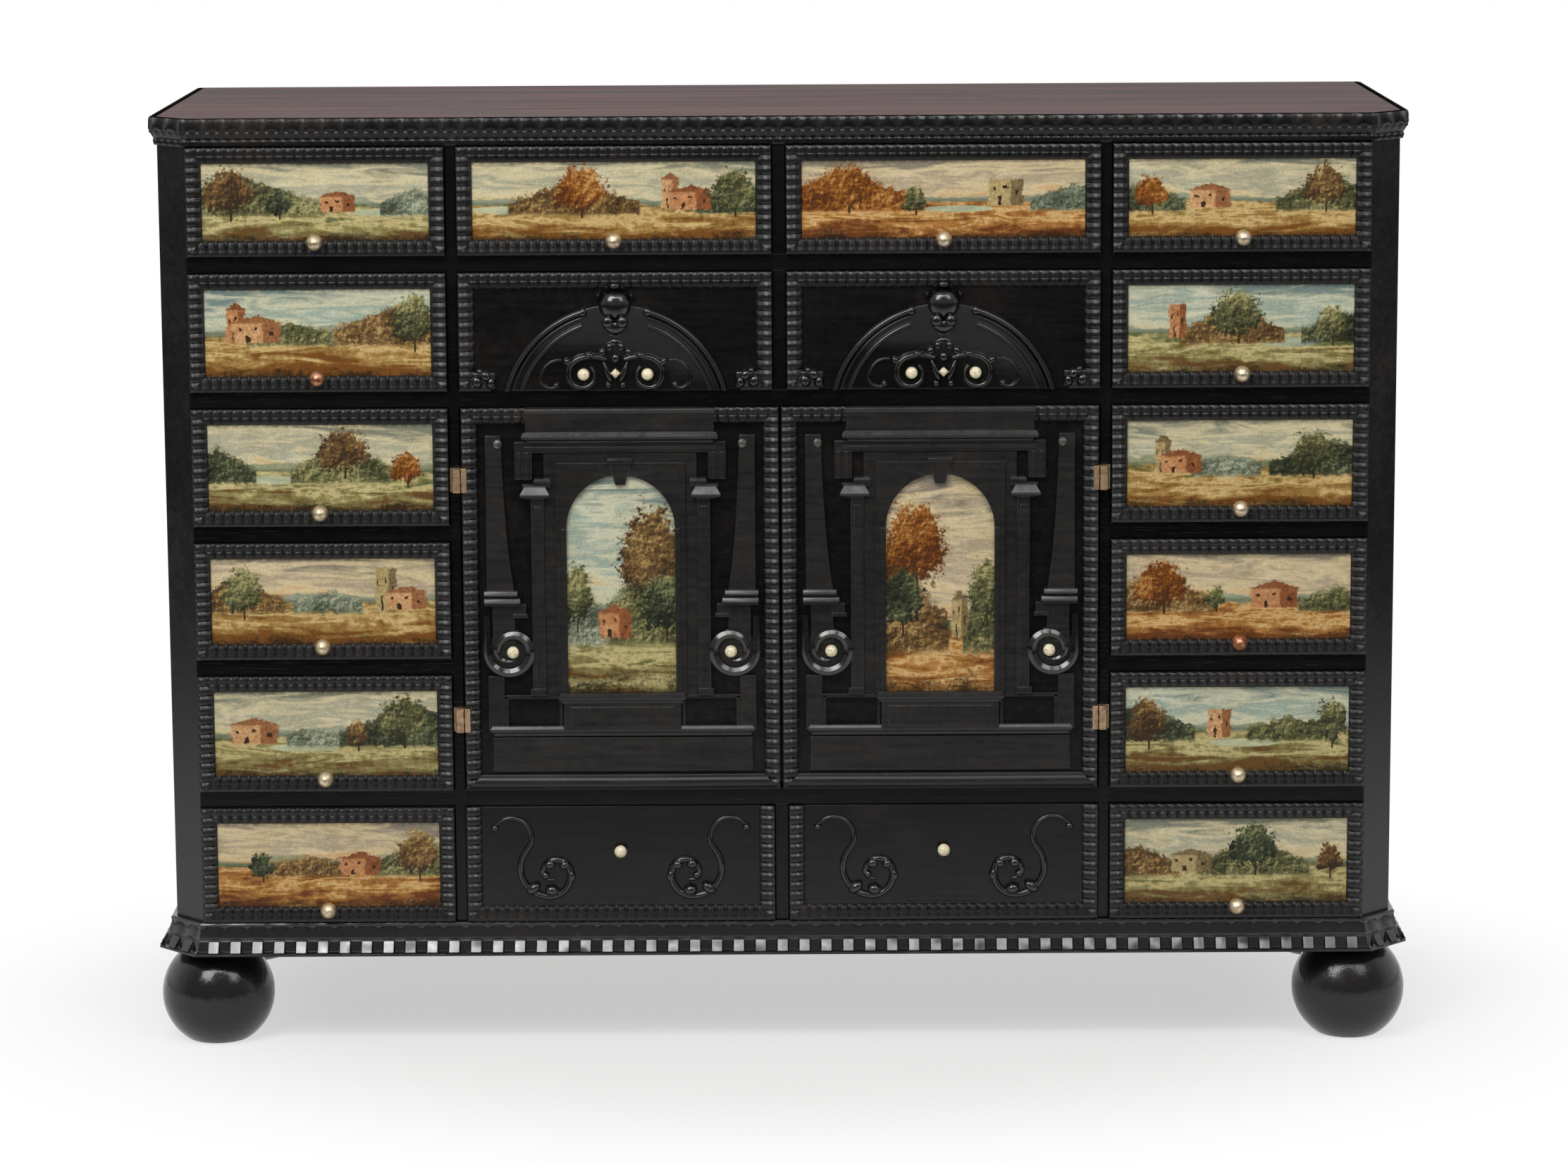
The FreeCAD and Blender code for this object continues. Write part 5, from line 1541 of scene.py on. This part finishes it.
def landscape(name, middle, width, height, plan):
    material, tree = new_material(name)
    easel = set_up_easel(tree, middle, width, height, plan.seed)
    picture = paint_sky(tree, easel, plan)
    for paint in (paint_distance, paint_ground, paint_woods, paint_houses, paint_trees,
                  paint_front):
        picture = paint(tree, easel, picture, plan)
    cells = add(tree, "TexVoronoi", {"Vector": easel.shifted, "Scale": 230},
                feature="DISTANCE_TO_EDGE")
    crack = patch(tree, (cells, 0.0, 0.03))
    picture = varnish(tree, easel, picture, crack)
    strokes = add(tree, "Math", {0: easel.fine, 1: easel.streak}, operation="ADD")
    surface = add(tree, "Math", {0: strokes, 1: crack}, operation="SUBTRACT")
    finish_surface(tree, surface, 0.25, 0.0003, Base_Color=picture, Roughness=0.4, IOR=1.48,
                   Specular_IOR_Level=0.3)
    return material


# %% [markdown]
# A plan holds what one picture shows. Woods have a middle, a reach, a rise and three tones.
# Trees, houses and water have a spot and a size, all as shares of the panel from its middle.

# %% Plans of the landscapes
CREAM_SKY = ("#cfbd98", "#dad4bc", "#a9ada0", "#84897f")
ROSE_SKY = ("#d2ae8a", "#dcd0b6", "#b0a698", "#8c877e")
BLUE_SKY = ("#d2c8a8", "#d2d6c6", "#9db0ac", "#7b8e90")
BLUE_FAR = ("#a5ae9f", "#8b9587", "#667062")
GREY_FAR = ("#a7ab94", "#838c76", "#59614c")
OCHRE = ("#6a6442", "#ab9268", "#d8c49c", "#7a5638")
GREEN = ("#5c6648", "#96936c", "#d0c6a0", "#6a5238")
RUSSET = ("#80593e", "#b48a62", "#dcc29a", "#6e4632")
OLIVE_LEAF = ("#2c3022", "#63664a", "#a3a07a")
DARK_LEAF = ("#1c2018", "#414a38", "#7d8264")
AUTUMN_LEAF = ("#523424", "#8f6040", "#c09a70")
BROWN_LEAF = ("#3a2e24", "#735c42", "#b09a74")
BLUE_LEAF = ("#414a40", "#757f72", "#abb29e")
BRICK = ("#6b4636", "#a5735a", "#d0a688")
STONE = ("#5d523e", "#948468", "#c4b690")
CLAY = ("#7a5644", "#b08468", "#dcbc9c")


def plan_of(seed, horizon, sky, far, ground, woods, trees, houses=(), water=(), front=0.8,
            slant=0.3):
    return SimpleNamespace(seed=seed, horizon=horizon, sky=sky, far=far, ground=ground,
                           woods=woods, trees=trees, houses=houses, water=water, front=front,
                           slant=slant)


plans = {
    "left_side_1": plan_of(1.3, 0.0, CREAM_SKY, BLUE_FAR, GREEN,
        [(-0.34, 0.4, 0.36, OLIVE_LEAF), (0.44, 0.16, 0.2, BLUE_LEAF)],
        [((-0.38, 0.14), (0.1, 0.26), BROWN_LEAF), ((-0.16, 0.0), (0.05, 0.15), DARK_LEAF)],
        [("gable", (0.1, -0.06), (0.05, 0.07), BRICK)],
        [((0.3, -0.14), (0.14, 0.05), "#98a896")]),
    "left_side_2": plan_of(2.9, 0.03, BLUE_SKY, BLUE_FAR, OCHRE,
        [(0.36, 0.34, 0.3, BROWN_LEAF), (-0.12, 0.2, 0.12, OLIVE_LEAF)],
        [((0.42, 0.16), (0.08, 0.26), OLIVE_LEAF)],
        [("spire", (-0.36, 0.06), (0.028, 0.17), BRICK),
         ("gable", (-0.27, -0.03), (0.07, 0.08), CLAY)],
        slant=-0.3),
    "left_side_3": plan_of(4.1, 0.0, CREAM_SKY, GREY_FAR, GREEN,
        [(0.1, 0.24, 0.3, OLIVE_LEAF), (-0.46, 0.18, 0.26, DARK_LEAF)],
        [((0.1, 0.2), (0.1, 0.22), BROWN_LEAF), ((0.38, 0.0), (0.06, 0.16), AUTUMN_LEAF)],
        [], [((-0.22, -0.14), (0.13, 0.05), "#98a99a")]),
    "left_side_4": plan_of(5.7, 0.04, ROSE_SKY, BLUE_FAR, OCHRE,
        [(-0.4, 0.24, 0.24, BROWN_LEAF), (0.02, 0.16, 0.1, BLUE_LEAF)],
        [((-0.36, 0.14), (0.08, 0.24), OLIVE_LEAF)],
        [("plain", (0.28, 0.06), (0.032, 0.18), STONE),
         ("gable", (0.37, -0.03), (0.06, 0.07), CLAY)]),
    "left_side_5": plan_of(7.2, 0.02, CREAM_SKY, BLUE_FAR, GREEN,
        [(0.4, 0.36, 0.34, DARK_LEAF), (-0.06, 0.12, 0.08, BLUE_LEAF)],
        [((0.34, 0.18), (0.1, 0.24), OLIVE_LEAF), ((0.14, 0.0), (0.04, 0.14), BROWN_LEAF)],
        [("gable", (-0.32, -0.04), (0.07, 0.08), CLAY)], [((-0.1, -0.16), (0.16, 0.05), "#9fab94")],
        slant=-0.3),
    "left_side_6": plan_of(8.4, 0.04, ROSE_SKY, GREY_FAR, RUSSET,
        [(0.44, 0.26, 0.26, OLIVE_LEAF), (-0.1, 0.2, 0.1, BROWN_LEAF)],
        [((0.4, 0.16), (0.08, 0.24), BROWN_LEAF), ((-0.3, 0.0), (0.05, 0.14), DARK_LEAF)],
        [("gable", (0.14, -0.05), (0.06, 0.07), BRICK)]),
    "left_top": plan_of(9.9, 0.0, CREAM_SKY, BLUE_FAR, OCHRE,
        [(-0.14, 0.24, 0.28, BROWN_LEAF), (0.46, 0.18, 0.24, DARK_LEAF)],
        [((-0.12, 0.16), (0.08, 0.26), AUTUMN_LEAF), ((0.42, 0.14), (0.07, 0.24), OLIVE_LEAF)],
        [("spire", (0.2, 0.06), (0.02, 0.17), CLAY), ("gable", (0.27, -0.04), (0.05, 0.08), BRICK)],
        [((-0.4, -0.12), (0.1, 0.05), "#a0ae9e")]),
    "right_top": plan_of(11.3, 0.02, ROSE_SKY, BLUE_FAR, RUSSET,
        [(-0.36, 0.3, 0.36, AUTUMN_LEAF), (0.46, 0.16, 0.2, BLUE_LEAF)],
        [((-0.34, 0.18), (0.09, 0.24), AUTUMN_LEAF), ((-0.1, 0.0), (0.04, 0.14), OLIVE_LEAF)],
        [("plain", (0.22, 0.03), (0.04, 0.12), STONE)], [((0.06, -0.13), (0.12, 0.04), "#a8b29e")],
        slant=-0.3),
    "right_side_1": plan_of(12.6, 0.0, CREAM_SKY, BLUE_FAR, OCHRE,
        [(0.4, 0.26, 0.28, OLIVE_LEAF), (-0.44, 0.2, 0.22, DARK_LEAF)],
        [((0.36, 0.16), (0.08, 0.24), BROWN_LEAF), ((-0.4, 0.08), (0.06, 0.2), AUTUMN_LEAF)],
        [("gable", (-0.14, -0.05), (0.06, 0.08), CLAY)]),
    "right_side_2": plan_of(14.2, 0.0, BLUE_SKY, BLUE_FAR, GREEN,
        [(-0.04, 0.24, 0.28, BROWN_LEAF), (0.46, 0.2, 0.2, DARK_LEAF)],
        [((-0.02, 0.18), (0.1, 0.24), OLIVE_LEAF), ((0.4, 0.06), (0.06, 0.18), OLIVE_LEAF)],
        [("plain", (-0.28, 0.03), (0.025, 0.14), BRICK)],
        [((0.2, -0.16), (0.13, 0.05), "#98a8a0")]),
    "right_side_3": plan_of(15.8, 0.03, CREAM_SKY, GREY_FAR, OCHRE,
        [(0.42, 0.3, 0.26, DARK_LEAF), (-0.06, 0.16, 0.1, BLUE_LEAF)],
        [((0.32, 0.14), (0.08, 0.22), OLIVE_LEAF)],
        [("spire", (-0.34, 0.05), (0.024, 0.16), STONE),
         ("gable", (-0.26, -0.04), (0.06, 0.07), BRICK)],
        slant=-0.3),
    "right_side_4": plan_of(17.1, 0.0, ROSE_SKY, BLUE_FAR, RUSSET,
        [(-0.4, 0.3, 0.28, BROWN_LEAF), (0.44, 0.18, 0.14, OLIVE_LEAF)],
        [((-0.34, 0.16), (0.1, 0.24), AUTUMN_LEAF), ((-0.1, 0.0), (0.04, 0.12), OLIVE_LEAF)],
        [("gable", (0.16, -0.05), (0.07, 0.08), BRICK)]),
    "right_side_5": plan_of(18.5, 0.04, BLUE_SKY, BLUE_FAR, GREEN,
        [(-0.44, 0.26, 0.28, DARK_LEAF), (0.24, 0.2, 0.14, OLIVE_LEAF)],
        [((-0.4, 0.12), (0.07, 0.24), BROWN_LEAF), ((0.42, 0.1), (0.06, 0.22), OLIVE_LEAF)],
        [("plain", (-0.08, 0.02), (0.035, 0.12), CLAY)],
        [((0.04, -0.16), (0.16, 0.05), "#9caa98")]),
    "right_side_6": plan_of(20.3, 0.0, CREAM_SKY, GREY_FAR, GREEN,
        [(0.08, 0.26, 0.28, OLIVE_LEAF), (-0.44, 0.2, 0.2, BROWN_LEAF)],
        [((0.08, 0.18), (0.09, 0.24), DARK_LEAF), ((0.42, 0.02), (0.05, 0.16), BROWN_LEAF)],
        [("gable", (-0.2, -0.06), (0.06, 0.07), STONE)], slant=-0.3),
    "left_door": plan_of(22.0, -0.1, BLUE_SKY, BLUE_FAR, GREEN,
        [(0.5, 0.7, 0.34, OLIVE_LEAF), (-0.5, 0.4, 0.14, BLUE_LEAF)],
        [((0.28, 0.16), (0.26, 0.18), BROWN_LEAF), ((0.4, -0.08), (0.2, 0.12), DARK_LEAF),
         ((-0.42, -0.04), (0.14, 0.12), OLIVE_LEAF)],
        [("gable", (-0.06, -0.2), (0.1, 0.04), BRICK)], [((-0.04, -0.22), (0.24, 0.03), "#8aa19c")],
        front=0.9),
    "right_door": plan_of(23.7, -0.14, ROSE_SKY, GREY_FAR, RUSSET,
        [(-0.5, 0.6, 0.3, BROWN_LEAF), (0.5, 0.3, 0.14, OLIVE_LEAF)],
        [((-0.24, 0.18), (0.26, 0.18), AUTUMN_LEAF), ((-0.36, -0.06), (0.18, 0.12), DARK_LEAF),
         ((0.42, -0.02), (0.14, 0.12), OLIVE_LEAF)],
        [("spire", (0.18, -0.17), (0.05, 0.08), STONE)], front=0.9),
}
print("plans for", len(plans), "pictures")

# %% Painted panels
for side in SIDES:
    for name in painted_drawers:
        body = "drawer_%s_%s" % (side, name)
        middle, width, height = front_middle(body + "_front")
        half_wide, half_high = width / 2 - PANEL_INSET, height / 2 - PANEL_INSET
        panel = block((middle.x - half_wide, front_y - PANEL_THICKNESS, middle.z - half_high),
                      (middle.x + half_wide, front_y, middle.z + half_high), 0.4)
        paint = landscape("oil on panel " + body, middle * MM, 2 * half_wide * MM,
                          2 * half_high * MM, plans["%s_%s" % (side, name)])
        settle(panel, body + "_painting", body, paint, smooth=20)
    body = "door_" + side
    foot = foot_of(side)
    middle = foot + UP * (PICTURE_LOW + PICTURE_HIGH) / 2
    paint = landscape("oil on panel " + body, middle * MM, 2 * PICTURE_HALF * MM,
                      (PICTURE_HIGH - PICTURE_LOW) * MM, plans[side + "_door"])
    settle(copy_of(picture, "picture", foot), body + "_painting", body, paint,
           [body + "_picture"], smooth=20)
discard(picture)
print("sixteen paintings laid in")

# %% [markdown]
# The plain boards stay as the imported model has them, and only get their finish. Boards that
# face the room are ebonised on their front edge and bare oak behind, so one material changes
# from black to oak a short way back from the front.

# %% Finishes of the carried-over boards
finishes = {"top_board": top_wood, "bottom_board": bottom_oak, "right_side_board": black_upright,
            "left_side_board": black_upright, "corner_posts": black_upright,
            "back_panel": oak_along, "partitions": partition_oak,
            "right_dust_boards": dust_board_oak, "left_dust_boards": dust_board_oak,
            "centre_dust_boards": dust_board_oak, "fixed_hinge_leaves": hinge_brass}
for side in SIDES:
    finishes["door_%s_leaf" % side] = black_upright
    finishes["door_%s_hinge_leaves" % side] = hinge_brass
    for name in painted_drawers + ["pediment", "low"]:
        finishes["drawer_%s_%s_box" % (side, name)] = drawer_oak
for node, finish in finishes.items():
    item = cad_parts[node]
    item.data.materials.clear()
    item.data.materials.append(finish)
print("finished", len(finishes), "carried-over nodes")

# %% Colour view
bpy.context.scene.view_settings.view_transform = "Standard"
